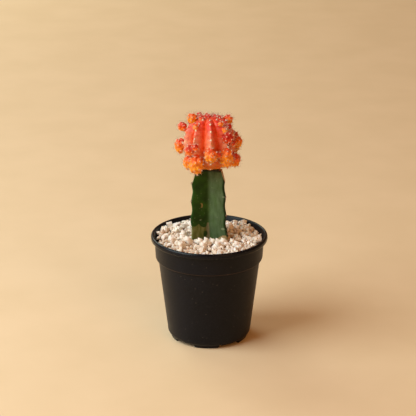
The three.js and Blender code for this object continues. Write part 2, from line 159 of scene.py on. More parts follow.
def wrapRings(rings, columns):  # faces between rings of points, where each ring runs the same way round
    faces = []
    for j in range(rings - 1):
        for i in range(columns):
            k = (i + 1) % columns
            faces.append((j * columns + i, j * columns + k, (j + 1) * columns + k, (j + 1) * columns + i))
    return faces


def lerp(a, b, share):
    return a + (b - a) * share


def clamp01(value):
    return min(1.0, max(0.0, value))


def ease(low, high, value):  # smooth step from 0 at low to 1 at high, either way round
    share = clamp01((value - low) / (high - low))
    return share * share * (3 - 2 * share)


# Camera: fitted to the pot's rim, ledge and foot, with its distance from the change in scale between them
camera = {"place": (-0.8, -1027.6, 466.0), "pitchDown": 19.95, "lens": 138.7}
cameraData = bpy.data.cameras.new("camera")
cameraData.lens = camera["lens"]
cameraData.sensor_width = 36
cameraObject = bpy.data.objects.new("camera", cameraData)
cameraObject.location = [c * mm for c in camera["place"]]
cameraObject.rotation_euler = (math.radians(90 - camera["pitchDown"]), 0, 0)
bpy.context.scene.collection.objects.link(cameraObject)
bpy.context.scene.camera = cameraObject

# Light: one large soft box low on the left and a little in front, a second one over the far floor, a weak
# warm one in front on the right, which opens the shaded side, and the glow that the paper room gives back
studio = {
    "target": (0, 0, 0.06),           # what the key and the fill are turned to
    "keyAside": 68,                   # degrees left of the camera
    "keyUp": 40,                      # degrees above the floor
    "keyDistance": 1.2,
    "backPlace": (-1.3, 1.8, 1.2),    # it hangs over the floor and faces straight down
    "fillPlace": (0.75, -1.15, 0.85),
    # Each lamp is a square: side in metres, power in watts and colour
    "lamps": {"key": (1.0, 17.9, "#EDFFFE"), "backFill": (1.6, 38, "#EFFFF0"), "fill": (1.0, 5.2, "#FFBE74")},
    "worldColour": "#FFB87A",
    "worldStrength": 0.272,
    "paperTones": ["#E4C6A2", "#E8CAA7"],
    "floorSize": 9.0,
}


def hangLamps():
    aside, up = math.radians(studio["keyAside"]), math.radians(studio["keyUp"])
    back = Vector((-math.sin(aside) * math.cos(up), -math.cos(aside) * math.cos(up), math.sin(up)))
    target = Vector(studio["target"])
    places = {"key": target + back * studio["keyDistance"], "backFill": Vector(studio["backPlace"]),
              "fill": Vector(studio["fillPlace"])}
    for name, place in places.items():
        data = bpy.data.lights.new(name, "AREA")
        data.shape = "SQUARE"
        data.size, data.energy, colour = studio["lamps"][name]
        data.color = hexColour(colour)[:3]
        lamp = bpy.data.objects.new(name, data)
        lamp.location = place
        if name != "backFill":
            lamp.rotation_euler = (target - place).to_track_quat("-Z", "Y").to_euler()
        bpy.context.scene.collection.objects.link(lamp)


# Dyed backdrop paper, calendered: dull, with a faint cloudiness and fibres
def dyedPaper():
    material, tree, shader = newMaterial("dyedBackdropPaper")
    place = addNode(tree, "ShaderNodeTexCoord").outputs["Object"]
    cloud = addNode(tree, "ShaderNodeTexNoise", {"Vector": place, "Scale": perMm(60), "Detail": 3.0})
    tone = addNode(tree, "ShaderNodeValToRGB", {"Fac": cloud},
                   stops=list(zip((0.35, 0.65), studio["paperTones"])))
    fibre = addNode(tree, "ShaderNodeTexNoise", {"Vector": place, "Scale": perMm(0.8), "Detail": 2.0})
    bump = addNode(tree, "ShaderNodeBump", {"Height": fibre, "Strength": 0.15, "Distance": 0.1 * mm})
    connect(tree, shader, {"Base Color": tone, "Roughness": 0.8, "Normal": bump})
    return material


def makeStudio():
    hangLamps()
    world = bpy.data.worlds.new("paperRoom")
    world.use_nodes = True
    connect(world.node_tree, world.node_tree.nodes["Background"],
            {"Color": studio["worldColour"], "Strength": studio["worldStrength"]})
    bpy.context.scene.world = world
    half = studio["floorSize"] / 2
    corners = [(-half, -half, 0), (half, -half, 0), (half, half, 0), (-half, half, 0)]
    floor = newPiece("floor", meshFrom("floor", corners, [(0, 1, 2, 3)]), smooth=False)
    floor.data.materials.append(dyedPaper())
    bpy.context.scene.view_settings.view_transform = "Standard"


makeStudio()
print("studio set")

# Pot: the profile is turned, and the feet and drainage holes are pressed into its underside
pot = {
    "height": 74.4, "rim": 40.0, "lip": 3.9, "lipInside": 37.8,
    "bandTop": 37.5, "bandBottom": 36.8, "ledge": 57.6, "bodyTop": 35.0,
    "seamRadius": 28.7, "seamHeight": 5.2, "underside": 27.4, "wall": 0.95,
    "footHeight": 2.1, "footBottom": 26.4, "footInside": 18.5, "footSpan": 38, "feet": 5, "frontFoot": -94,
    "holeRadius": 3.0, "holeCircle": 15.0,
    # Height and radius of the wall's inner face, from the floor up to the lip
    "inside": [
        (3.05, 26.8), (5.7, 27.75), (56.8, 34.05), (57.8, 34.2), (59.1, 35.8), (70.5, 36.55), (73.6, 37.8)],
    # Radii of the rings of the underside, close together where a foot or a hole begins
    "underRings": [
        1.5, 6.0, 10.5, 11.9, 12.6, 13.5, 15.0, 16.5, 17.4, 18.1, 18.4, 18.9, 19.3, 22.0, 25.0, 26.1, 26.5,
        27.0],
    "columns": 360,
    "rounding": 0.5,      # radius of the moulded corners
    "wander": 0.12,       # how far the thin wall strays from a true round
}


def roundCorners(profile, radius, steps=5):  # a profile with each inner corner turned into an arc-like curve
    points = [Vector(p) for p in profile]
    made = [points[0]]
    for before, corner, after in zip(points, points[1:], points[2:]):
        reach = min(radius, (before - corner).length * 0.45, (after - corner).length * 0.45)
        start = corner + (before - corner).normalized() * reach
        end = corner + (after - corner).normalized() * reach
        for i in range(steps + 1):
            t = i / steps
            made.append(start * (1 - t) ** 2 + corner * 2 * t * (1 - t) + end * t ** 2)
    return made + [points[-1]]


def potInside(height):  # radius of the inside of the wall at a height
    return float(np.interp(height, *zip(*pot["inside"])))


def makePot():
    p = pot
    floorTop = p["footHeight"] + p["wall"]
    outside = [
        (p["underside"] - 0.2, p["footHeight"]), (p["seamRadius"] - 0.4, p["footHeight"] + 1.3),
        (p["seamRadius"] + 0.05, p["seamHeight"] - 0.3), (p["seamRadius"] + 0.05, p["seamHeight"] + 0.1),
        (p["bodyTop"], p["ledge"] - 0.3), (p["bodyTop"] + 0.1, p["ledge"]),
        (p["bandBottom"] - 0.4, p["ledge"]), (p["bandBottom"], p["ledge"] + 0.8),
        (p["bandTop"], p["height"] - p["lip"]), (p["rim"] - 0.7, p["height"] - p["lip"]),
        (p["rim"], p["height"] - p["lip"] + 0.9), (p["rim"], p["height"] - 1.0),
        (p["rim"] - 0.6, p["height"] - 0.2), (p["rim"] - 1.2, p["height"]),
        (p["lipInside"] + 0.4, p["height"] - 0.2), (p["lipInside"], p["height"] - 0.8),
    ]
    inside = [(potInside(z), z) for z in (70.5, 59.1, 57.8, 56.8, 30.0, 5.7)]
    inside += [(26.8, floorTop), (22.0, floorTop)]
    wall = roundCorners(outside + inside, p["rounding"])

    # The underside as rings from the middle out, where the feet stand down, and then the wall
    columns = p["columns"]
    angles = [math.radians(i * 360 / columns) for i in range(columns)]
    spacing = 360 / p["feet"]
    points = []
    for r in p["underRings"]:
        within = (ease(p["footInside"] - 0.3, p["footInside"] + 0.5, r)
                  * ease(p["underside"] - 0.2, p["footBottom"], r))
        for angle in angles:
            aside = (math.degrees(angle) - p["frontFoot"] + spacing / 2) % spacing - spacing / 2
            side = ease(p["footSpan"] / 2 + 0.6, p["footSpan"] / 2 - 0.6, abs(aside))
            points.append((r * math.cos(angle), r * math.sin(angle), p["footHeight"] * (1 - side * within)))
    for r, z in wall:
        for angle in angles:
            where = (math.cos(angle) * 0.9, math.sin(angle) * 0.9, z * 0.02)
            stray = p["wander"] * ease(20, 70, z) * noise.noise(where)
            points.append(((r + stray) * math.cos(angle), (r + stray) * math.sin(angle), z))
    rings = len(p["underRings"]) + len(wall)
    faces = wrapRings(rings, columns)
    faces.append(list(reversed(range(columns))))
    faces.append([(rings - 1) * columns + i for i in range(columns)])
    mesh = meshFrom("nurseryPotShell", [Vector(q) * mm for q in points], faces)
    shell = newPiece("nurseryPot", mesh)

    # Drainage holes between the feet
    cutters = []
    for i in range(p["feet"]):
        angle = math.radians(p["frontFoot"] + (i + 0.5) * 360 / p["feet"])
        across, back = p["holeCircle"] * math.cos(angle), p["holeCircle"] * math.sin(angle)
        bpy.ops.mesh.primitive_cylinder_add(vertices=48, radius=p["holeRadius"] * mm, depth=6 * mm,
                                            location=(across * mm, back * mm, 2.5 * mm))
        cutters.append(bpy.context.object)
    for cutter in cutters:
        cut = shell.modifiers.new("hole", "BOOLEAN")
        cut.operation = "DIFFERENCE"
        cut.solver = "EXACT"
        cut.object = cutter
    holed = keepResult(shell)
    for cutter in cutters:
        bpy.data.objects.remove(cutter)
    holed.shade_smooth()
    holed.set_sharp_from_angle(angle=math.radians(35))
    return shell


# Polypropylene, injection moulded, black with carbon: satin, with a fine spark-eroded grain and some dust,
# painted glints on the grain and painted shade under the ledge
def mouldedPolypropylene():
    material, tree, shader = newMaterial("mouldedBlackPolypropylene")
    place = addNode(tree, "ShaderNodeTexCoord").outputs["Object"]
    cloud = addNode(tree, "ShaderNodeTexNoise",
                    {"Vector": place, "Scale": perMm(14), "Detail": 4.0, "Roughness": 0.6})
    tone = addNode(tree, "ShaderNodeValToRGB", {"Fac": cloud}, stops=[(0.3, "#050710"), (0.7, "#0B0D17")])
    # Dust: a few small pale specks, in about one cell of three
    cell = addNode(tree, "ShaderNodeTexVoronoi", {"Vector": place, "Scale": perMm(2.4), "Randomness": 1.0})
    near = addNode(tree, "ShaderNodeMath", {0: cell, 1: 0.11}, operation="LESS_THAN")
    parts = addNode(tree, "ShaderNodeSeparateColor", {"Color": cell.outputs["Color"]})
    chosen = addNode(tree, "ShaderNodeMath", {0: parts.outputs["Red"], 1: 0.3}, operation="LESS_THAN")
    speck = addNode(tree, "ShaderNodeMath", {0: near, 1: chosen}, operation="MULTIPLY")
    faint = addNode(tree, "ShaderNodeMath", {0: speck, 1: 0.25}, operation="MULTIPLY")
    rough = addNode(tree, "ShaderNodeMapRange", {0: cloud, 1: 0.3, 2: 0.7, 3: 0.38, 4: 0.46})
    # The lip comes out of a polished part of the mould, so it shines more than the grained wall
    flat = addNode(tree, "ShaderNodeVectorMath", {0: place, 1: (1.0, 1.0, 0.0)}, operation="MULTIPLY")
    radius = addNode(tree, "ShaderNodeVectorMath", {0: flat}, operation="LENGTH")
    lip = addNode(tree, "ShaderNodeMapRange", {0: radius, 1: 38.0 * mm, 2: 38.7 * mm, 3: 0.0, 4: 0.16})
    shine = addNode(tree, "ShaderNodeMath", {0: rough, 1: lip}, operation="SUBTRACT")
    # The grain is finer than a pixel, so it is drawn at 0.6 mm, and its crowns are painted paler as glints: a
    # painted highlight
    grain = addNode(tree, "ShaderNodeTexNoise",
                    {"Vector": place, "Scale": perMm(0.6), "Detail": 3.0, "Roughness": 0.7})
    patchy = addNode(tree, "ShaderNodeMapRange", {0: grain, 1: 0.5, 2: 0.72, 3: 0.0, 4: 0.3})
    # A thin dark brown line along the ledge: painted shade under the band's overhang
    height = addNode(tree, "ShaderNodeSeparateXYZ", {0: place}).outputs["Z"]
    offLedge = addNode(tree, "ShaderNodeMath", {0: height, 1: (pot["ledge"] + 0.15) * mm},
                       operation="SUBTRACT")
    away = addNode(tree, "ShaderNodeMath", {0: offLedge}, operation="ABSOLUTE")
    line = addNode(tree, "ShaderNodeMapRange", {0: away, 1: 0.25 * mm, 2: 0.6 * mm, 3: 0.7, 4: 0.0})
    for share, colour in ((faint, "#9A8B7B"), (patchy, "#34363E"), (line, "#3A2418")):
        tone = addNode(tree, "ShaderNodeMix", {0: share, 6: tone, 7: colour}, data_type="RGBA")
    bump = addNode(tree, "ShaderNodeBump", {"Height": grain, "Strength": 0.6, "Distance": 0.05 * mm})
    connect(tree, shader, {"Base Color": tone, "Roughness": shine, "IOR": 1.49,
                           "Specular IOR Level": 0.19, "Normal": bump})
    return material


potPiece = makePot()
potPiece.data.materials.append(mouldedPolypropylene())
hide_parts("nursery_pot")
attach(potPiece, "root")
print("pot made", len(potPiece.data.polygons))


# Growing mix of peat, bark and grit: dark and crumbly, seen only through the drainage holes
def growingMix():
    material, tree, shader = newMaterial("peatGrowingMix")
    place = addNode(tree, "ShaderNodeTexCoord").outputs["Object"]
    crumb = addNode(tree, "ShaderNodeTexVoronoi", {"Vector": place, "Scale": perMm(1.6), "Randomness": 1.0})
    fibre = addNode(tree, "ShaderNodeTexNoise", {"Vector": place, "Scale": perMm(0.7), "Detail": 4.0})
    parts = addNode(tree, "ShaderNodeSeparateColor", {"Color": crumb.outputs["Color"]})
    tone = addNode(tree, "ShaderNodeValToRGB", {"Fac": parts.outputs["Red"]},
                   stops=[(0.0, "#1E140D"), (0.55, "#38261A"), (0.85, "#4F3826"), (1.0, "#8A6E50")])
    height = addNode(tree, "ShaderNodeMath", {0: crumb, 1: fibre}, operation="SUBTRACT")
    bump = addNode(tree, "ShaderNodeBump", {"Height": height, "Strength": 0.8, "Distance": 0.5 * mm})
    connect(tree, shader, {"Base Color": tone, "Roughness": 0.92, "Normal": bump})
    return material


soilPiece = frame["nodes"]["potting_soil"]
soilPiece.data.materials.clear()
soilPiece.data.materials.append(growingMix())
print("soil dressed")

# Stock: the outline and the lean of the stem, which the stone bed keeps clear of too
stock = {
    "foot": 40.0, "top": 122.2,
    "shift": -0.1, "lean": 1.3, "leanFrom": 86.0, "leanTo": 71.9,      # its foot stands a little to the right
    "footShare": 0.88, "bedded": 68.0,      # under the stones it narrows towards its foot
    "ribs": 3, "firstRib": -33,
    "tipLow": 14.2, "tipHigh": 12.3,        # how far a rib reaches from the axis
    "edge": 1.15, "valley": 4.2,
    "wavePitch": 13.1, "wave": 0.42,
    "waveCrests": [90.3, 95.6, 99.9],       # heights on the right, back and left rib
    # Each rib's pared shoulder
    "cutFacing": [-15, 86, 200], "cutReach": [9.6, 9.7, 9.85], "cutSlope": 0.32,
    "bareTop": 8,                           # no areole sits so near to the cut
    "rows": 170, "hiddenRows": 14,
}


def stockAxis(z):
    share = clamp01((stock["leanFrom"] - z) / (stock["leanFrom"] - stock["leanTo"]))
    return stock["shift"] + stock["lean"] * share * share


def ribTip(rib, z):
    up = clamp01((z - stock["leanTo"]) / (stock["top"] - stock["leanTo"]))
    plain = lerp(stock["tipLow"], stock["tipHigh"], up)
    wave = stock["wave"] * math.cos((z - stock["waveCrests"][rib]) / stock["wavePitch"] * 2 * math.pi)
    outOfSoil = clamp01((z - stock["foot"]) / (stock["bedded"] - stock["foot"]))
    return (plain + wave) * lerp(stock["footShare"], 1.0, outOfSoil)


def curveThrough(points, steps):  # a line through a half section, smooth where it meets its mirror image too
    bisector = Vector(points[0]).normalized()
    mirrored = bisector * (2 * bisector.dot(Vector(points[1]))) - Vector(points[1])
    run = [mirrored] + [Vector(q) for q in points] + [Vector(points[-1])]
    made = []
    for i in range(len(points) - 1):
        a, b, c, d = run[i:i + 4]
        for s in range(steps):
            t = s / steps
            made.append(0.5 * ((2 * b) + (c - a) * t + (2 * a - 5 * b + 4 * c - d) * t ** 2
                               + (3 * b - a - 3 * c + d) * t ** 3))
    return made + [Vector(points[-1])]


def stockSection(z, margin=0.0, steps=7):  # points round the stem at a height, with their place on a rib
    ring = []
    for rib in range(stock["ribs"]):
        cut = stock["cutReach"][rib] + stock["cutSlope"] * (stock["top"] - z)
        tip = ribTip(rib, z) + margin
        edge = stock["edge"] + margin
        valley = (stock["valley"] + margin) * min(1.0, tip / stock["tipHigh"])
        root = Vector((valley * 0.5, valley * 0.866))
        brow = Vector((tip - 0.85 * edge, 0.9 * edge))     # where the flat flank turns into the rounded edge
        half = [root, root.lerp(brow, 0.3) + Vector((0, 0.1)), root.lerp(brow, 0.65) + Vector((0, 0.12)),
                brow, (tip - 0.28 * edge, edge * 0.62), (tip, 0.0)]
        line = curveThrough(half, steps)
        both = [Vector((a, -b)) for a, b in line[:-1]] + [Vector(q) for q in reversed(line[1:])]
        angle = math.radians(stock["firstRib"] + rib * 360 / stock["ribs"])
        turn = math.radians(stock["cutFacing"][rib]) - angle
        for along, across in both:
            over = along * math.cos(turn) + across * math.sin(turn) - cut
            held = along - max(0.0, over) / math.cos(turn)
            x = stockAxis(z) + held * math.cos(angle) - across * math.sin(angle)
            y = held * math.sin(angle) + across * math.cos(angle)
            ring.append((x, y, along / tip, 1.0 if held < along else 0.0))
    return ring


# Stones: stacked layers of points fill the top of the pot, and each point takes a broken stone
stones = {
    "layers": [(66.9, 1.3), (68.7, 1.1), (70.3, 0.9), (71.8, 0.7)],    # height, and the gap to the wall
    "offStem": 1.25, "offWall": 1.35,       # room for half a stone
    "heap": 0.3,            # how much higher the bed is at the stem
    "drift": (0.4, 0.3),    # how much higher, and nearer to the wall, it lies at the back right
    "driftTo": (0.8, 0.6), "driftAbove": 70,
    "spacing": 2.4,
    "smallest": 0.9, "largest": 2.15,      # radius
    "kinds": 8,
    "seed": 23,
    # Large stones, most of them in front of the stem: place across and in depth, height, radius
    "large": [
        (-5.2, -12.4, 72.7, 2.5), (-1.2, -9.2, 72.3, 2.2), (3.4, -11.2, 72.1, 2.3), (6.4, -9.6, 72.0, 2.0),
        (10.6, -11.6, 72.3, 2.6), (16.4, -10.4, 72.0, 2.1), (-13.6, -10.2, 72.8, 2.7),
        (-17.5, -5.6, 72.6, 2.3), (-16.6, 1.5, 72.9, 2.5), (-24.6, -8.2, 72.2, 2.6),
        (6.6, -16.8, 72.2, 2.5), (-3.4, -18.4, 72.3, 2.3), (19.5, -15.8, 72.0, 2.4),
        (-18.5, -17.8, 72.2, 2.4), (-20, 12.2, 72.5, 2.2), (15, 16.5, 72.2, 2.1), (2.5, 18.5, 72.4, 2.2),
        (24.5, 2, 72.1, 2.1)],
}


def stoneBed():  # flat rings, one over another, from the stem's outline to the wall
    points, faces = [], []
    higher, nearer = stones["drift"]
    for z, gap in stones["layers"]:
        inner = stockSection(z, margin=stones["offStem"], steps=4)
        outer = potInside(z + 0.6) - gap - stones["offWall"]
        faces += [[len(points) + i for i in face] for face in wrapRings(2, len(inner))]
        for x, y, *_ in inner:
            points.append(Vector((x, y, z + stones["heap"])) * mm)
        for x, y, *_ in inner:
            away = Vector((x - stockAxis(z), y)).normalized()
            drifted = max(0.0, away.dot(Vector(stones["driftTo"]))) if z > stones["driftAbove"] else 0.0
            away *= outer + nearer * drifted
            points.append(Vector((away.x, away.y, z + higher * drifted)) * mm)
    return meshFrom("stoneBed", points, faces)


def brokenStoneTree():
    tree, given = newTree("brokenStones", {
        "Spacing": ("Float", 2.4 * mm), "Smallest": ("Float", 1.0 * mm), "Largest": ("Float", 1.8 * mm),
        "Seed": ("Int", 1), "Material": ("Material", None)})
    spread = addNode(tree, "GeometryNodeDistributePointsOnFaces",
                     {"Mesh": given["Geometry"], "Distance Min": given["Spacing"], "Density Max": 9e5,
                      "Seed": given["Seed"]}, distribute_method="POISSON")
    size = addNode(tree, "FunctionNodeRandomValue", {"Seed": given["Seed"], 2: 0.0, 3: 1.0},
                   data_type="FLOAT")
    skew = addNode(tree, "ShaderNodeMath", {0: size, 1: 1.7}, operation="POWER")
    reach = addNode(tree, "ShaderNodeMapRange", {0: skew, 3: given["Smallest"], 4: given["Largest"]})
    # Large stones come in as loose points that carry their own size
    large = addNode(tree, "GeometryNodeInputNamedAttribute", {"Name": "large"}, data_type="FLOAT")
    loose = addNode(tree, "GeometryNodeSeparateGeometry", {"Geometry": given["Geometry"], "Selection": large},
                    domain="POINT")
    loosePoints = addNode(tree, "GeometryNodeMeshToPoints", {"Mesh": loose})
    sized = []
    for points, scale in ((spread, reach), (loosePoints, large)):
        sized.append(addNode(tree, "GeometryNodeStoreNamedAttribute",
                             {"Geometry": points, "Name": "reach", "Value": scale},
                             data_type="FLOAT", domain="POINT"))
    allPoints = addNode(tree, "GeometryNodeJoinGeometry")
    for points in reversed(sized):
        connect(tree, allPoints, {0: points})
    # Each kind is the hull of a ball's points thrown about, so its faces are flat and its edges sharp
    kinds = addNode(tree, "GeometryNodeJoinGeometry")
    for kind in range(stones["kinds"]):
        ball = addNode(tree, "GeometryNodeMeshIcoSphere", {"Radius": 1.0, "Subdivisions": 2})
        throw = addNode(tree, "FunctionNodeRandomValue",
                        {0: (-0.5, -0.5, -0.5), 1: (0.5, 0.5, 0.5), "Seed": stones["seed"] + kind},
                        data_type="FLOAT_VECTOR")
        thrown = addNode(tree, "GeometryNodeSetPosition", {"Geometry": ball, "Offset": throw})
        hull = addNode(tree, "GeometryNodeConvexHull", {"Geometry": thrown})
        # Stones are longer than they are wide
        long = addNode(tree, "GeometryNodeTransform",
                       {"Geometry": hull, "Scale": (1.25, 0.92 - 0.04 * kind, 0.62 + 0.03 * kind)})
        connect(tree, kinds, {0: addNode(tree, "GeometryNodeGeometryToInstance", {0: long})})
    turn = addNode(tree, "FunctionNodeRandomValue", {1: (6.28, 6.28, 6.28), "Seed": 5},
                   data_type="FLOAT_VECTOR")
    ownReach = addNode(tree, "GeometryNodeInputNamedAttribute", {"Name": "reach"}, data_type="FLOAT")
    placed = addNode(tree, "GeometryNodeInstanceOnPoints",
                     {"Points": allPoints, "Instance": kinds, "Pick Instance": True, "Rotation": turn,
                      "Scale": ownReach})
    tint = addNode(tree, "FunctionNodeRandomValue", {2: 0.0, 3: 1.0, "Seed": 9}, data_type="FLOAT")
    tinted = addNode(tree, "GeometryNodeStoreNamedAttribute",
                     {"Geometry": placed, "Name": "tint", "Value": tint},
                     data_type="FLOAT", domain="INSTANCE")
    real = addNode(tree, "GeometryNodeRealizeInstances", {0: tinted})
    dressed = addNode(tree, "GeometryNodeSetMaterial", {"Geometry": real, "Material": given["Material"]})
    addNode(tree, "NodeGroupOutput", {"Geometry": dressed})
    return tree


# Crushed marble and dolomite, tumbled and washed: chalky cream faces, with painted warm brown shade low
# between them
def crushedMarble():
    material, tree, shader = newMaterial("crushedCreamMarble")
    place = addNode(tree, "ShaderNodeTexCoord").outputs["Object"]
    tint = addNode(tree, "ShaderNodeAttribute", attribute_name="tint").outputs["Fac"]
    tone = addNode(tree, "ShaderNodeValToRGB", {"Fac": tint}, stops=[
        (0.0, "#D2B498"), (0.12, "#E4CEBC"), (0.35, "#ECDED2"), (0.7, "#F1E5DC"), (1.0, "#F4EBE6")])
    cloud = addNode(tree, "ShaderNodeTexNoise",
                    {"Vector": place, "Scale": perMm(1.5), "Detail": 5.0, "Roughness": 0.65})
    stain = addNode(tree, "ShaderNodeMapRange", {0: cloud, 1: 0.52, 2: 0.72, 3: 0.0, 4: 0.35})
    # Painted shade: lower down between the stones the colour turns a darker warm brown
    height = addNode(tree, "ShaderNodeSeparateXYZ", {0: place}).outputs["Z"]
    deep = addNode(tree, "ShaderNodeMapRange", {0: height, 1: 72.0 * mm, 2: 70.0 * mm, 3: 0.0, 4: 0.72})
    for share, colour in ((stain, "#D9B795"), (deep, "#C69A6C")):
        tone = addNode(tree, "ShaderNodeMix", {0: share, 6: tone, 7: colour}, data_type="RGBA")
    grit = addNode(tree, "ShaderNodeTexNoise",
                   {"Vector": place, "Scale": perMm(0.5), "Detail": 4.0, "Roughness": 0.7})
    bump = addNode(tree, "ShaderNodeBump", {"Height": grit, "Strength": 0.6, "Distance": 0.15 * mm})
    connect(tree, shader, {"Base Color": tone, "Roughness": 0.72, "IOR": 1.5, "Subsurface Weight": 0.12,
                           "Subsurface Radius": (1.0, 0.6, 0.4), "Subsurface Scale": 0.8 * mm,
                           "Normal": bump})
    return material


def makeStones():
    bed = stoneBed()
    flat = len(bed.vertices)
    bed.vertices.add(len(stones["large"]))
    for i, (x, y, z, size) in enumerate(stones["large"]):
        bed.vertices[flat + i].co = Vector((x, y, z)) * mm
    storeOnPoints(bed, "large", [0.0] * flat + [size * mm for x, y, z, size in stones["large"]])
    return growPiece("dressingStones", bed, brokenStoneTree(), {
        "Spacing": stones["spacing"] * mm, "Smallest": stones["smallest"] * mm,
        "Largest": stones["largest"] * mm, "Seed": stones["seed"], "Material": crushedMarble()}, smooth=False)


stonePiece = makeStones()
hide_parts("stone_dressing")
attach(stonePiece, "root")
print("stones made", len(stonePiece.data.polygons))

# What marks the stock's skin, seen from the front: place across and height in mm
stockMarks = {
    "cork": [
        [(-14, 66), (-14, 82.9), (-11.6, 82.2), (-10, 81.7), (-8.3, 82.3), (-7.1, 83.8), (-6.2, 82.3),
         (-4.6, 81.2), (-2.8, 80.8), (-1.8, 81.6), (-1.5, 83.9), (-0.1, 84.2), (0.2, 79), (0.5, 74),
         (0.6, 66)],
        [(3.4, 66), (4.2, 72.2), (6.2, 73.6), (7.8, 74.9), (9.4, 76.1), (11.6, 75.9), (12.3, 74.6),
         (14, 73.8), (14, 66)],
    ],
    "frontOnly": (-2.0, 90),                   # the outlines hold in front of this depth, below this height
    "backCork": (76.0, 2.2),                   # height of its edge on the back, and how far its lobes reach
    "greenOval": (-2.6, 76.2, 1.35, 2.1),      # centre and half sizes
    "scar": (-6.7, 96.8, 1.95, 0.2, 58),       # an arc: centre, radius, half width, half span in degrees
    # Painted sheen: on the front the wax is drawn only on the lit right flank
    "waxAndSheenEdge": (-1.8, 1.4),                  # the wax begins across the front valley
    # Pale spots: centre, half width and strength
    "spots": [
        (-5.8, 86.4, 0.65, 0.5), (9.3, 80.5, 1.25, 0.42), (9.6, 103.6, 0.85, 0.35), (4.9, 114.6, 0.4, 0.45),
        (5.3, 88.7, 0.42, 0.5), (4.4, 86.0, 0.3, 0.6), (-9.6, 88.0, 0.35, 0.35), (1.9, 109.5, 0.35, 0.3)],
}


def insideBy(polygon, x, z):  # distance to a polygon's outline, above zero inside it
    nearest, inside = 1e9, False
    for (ax, az), (bx, bz) in zip(polygon, polygon[1:] + polygon[:1]):
        dx, dz = bx - ax, bz - az
        t = clamp01(((x - ax) * dx + (z - az) * dz) / (dx * dx + dz * dz))
        nearest = min(nearest, math.hypot(x - ax - t * dx, z - az - t * dz))
        if (az > z) != (bz > z) and x < ax + (z - az) / (bz - az) * dx:
            inside = not inside
    return nearest if inside else -nearest


def corkAt(x, y, z):
    depth, top = stockMarks["frontOnly"]
    if y > depth or z > top:
        level, lobe = stockMarks["backCork"]
        return level + lobe * math.sin(x * 0.9 + 2 * math.sin(y * 0.35)) - z
    cx, cz, rx, rz = stockMarks["greenOval"]
    oval = (math.hypot((x - cx) / rx, (z - cz) / rz) - 1) * rx
    return min(oval, max(insideBy(outline, x, z) for outline in stockMarks["cork"]))


def scarAt(x, z):
    cx, cz, radius, half, span = stockMarks["scar"]
    aside = math.degrees(math.atan2(z - cz, x - cx))
    width = half * math.sqrt(max(0.0, 1 - (aside / span) ** 2))
    return ease(0.25, -0.1, abs(math.hypot(x - cx, z - cz) - radius) - width) if abs(aside) < span else 0.0


def spotAt(x, z):
    return max(strength * ease(1.15, 0.75, math.hypot((x - cx) / half, (z - cz) / (half * 0.6)))
               for cx, cz, half, strength in stockMarks["spots"])


def makeStock():
    points, skin = [], []
    hidden = stock["hiddenRows"]
    heights = [lerp(stock["foot"], stock["bedded"], j / hidden) for j in range(hidden)]
    heights += [lerp(stock["bedded"], stock["top"], j / stock["rows"]) for j in range(stock["rows"] + 1)]
    for z in heights:
        for x, y, along, isCut in stockSection(z):
            front = y < -1.5
            cork = corkAt(x, y, z)
            scar = scarAt(x, z) if front else 0.0
            spot = spotAt(x, z) if front else 0.0
            # On the front the wax is painted light: almost none on the shaded left half, full on the lit
            # right flank
            bloom = 0.04 + 0.92 * ease(*stockMarks["waxAndSheenEdge"], x - stockAxis(z)) if y < 0 else 0.5
            skin.append((cork, scar, spot, bloom, along, isCut))
            # Skin is lumpy at 5 mm and 1.5 mm, sinks a little where it has corked, and swells at the scar
            lump = 0.16 * noise.noise((x * 0.2, y * 0.2, z * 0.13))
            lump += 0.05 * noise.noise((x * 0.7, y * 0.7, z * 0.6))
            lump += 0.14 * scar - 0.16 * ease(-0.3, 0.3, cork)
            if isCut:
                lump = 0.05 * noise.noise((x, y, z))
            away = Vector((x - stockAxis(z), y, 0)).normalized() * (lump if z < stock["top"] - 0.1 else 0.0)
            points.append(Vector((x + away.x, y + away.y, z)))
    columns = len(points) // len(heights)
    faces = wrapRings(len(heights), columns)
    # The ends close towards the axis, where the cut top sinks a little
    for ring, z, up in ((0, stock["foot"], False), (len(heights) - 1, stock["top"] - 0.1, True)):
        first = ring * columns
        points.append(Vector((stockAxis(z), 0, z)))
        skin.append((9.0, 0, 0, 0, 0, 1.0 if up else 0.0))
        for i in range(columns):
            a, b = first + i, first + (i + 1) % columns
            faces.append((a, b, len(points) - 1) if up else (b, a, len(points) - 1))
    mesh = meshFrom("graftingStock", [q * mm for q in points], faces)
    for i, name in enumerate(("cork", "scar", "spot", "bloom", "along", "cutSkin")):
        storeOnPoints(mesh, name, [row[i] for row in skin])
    piece = newPiece("graftingStock", mesh)
    mesh.set_sharp_from_angle(angle=math.radians(50))
    return piece
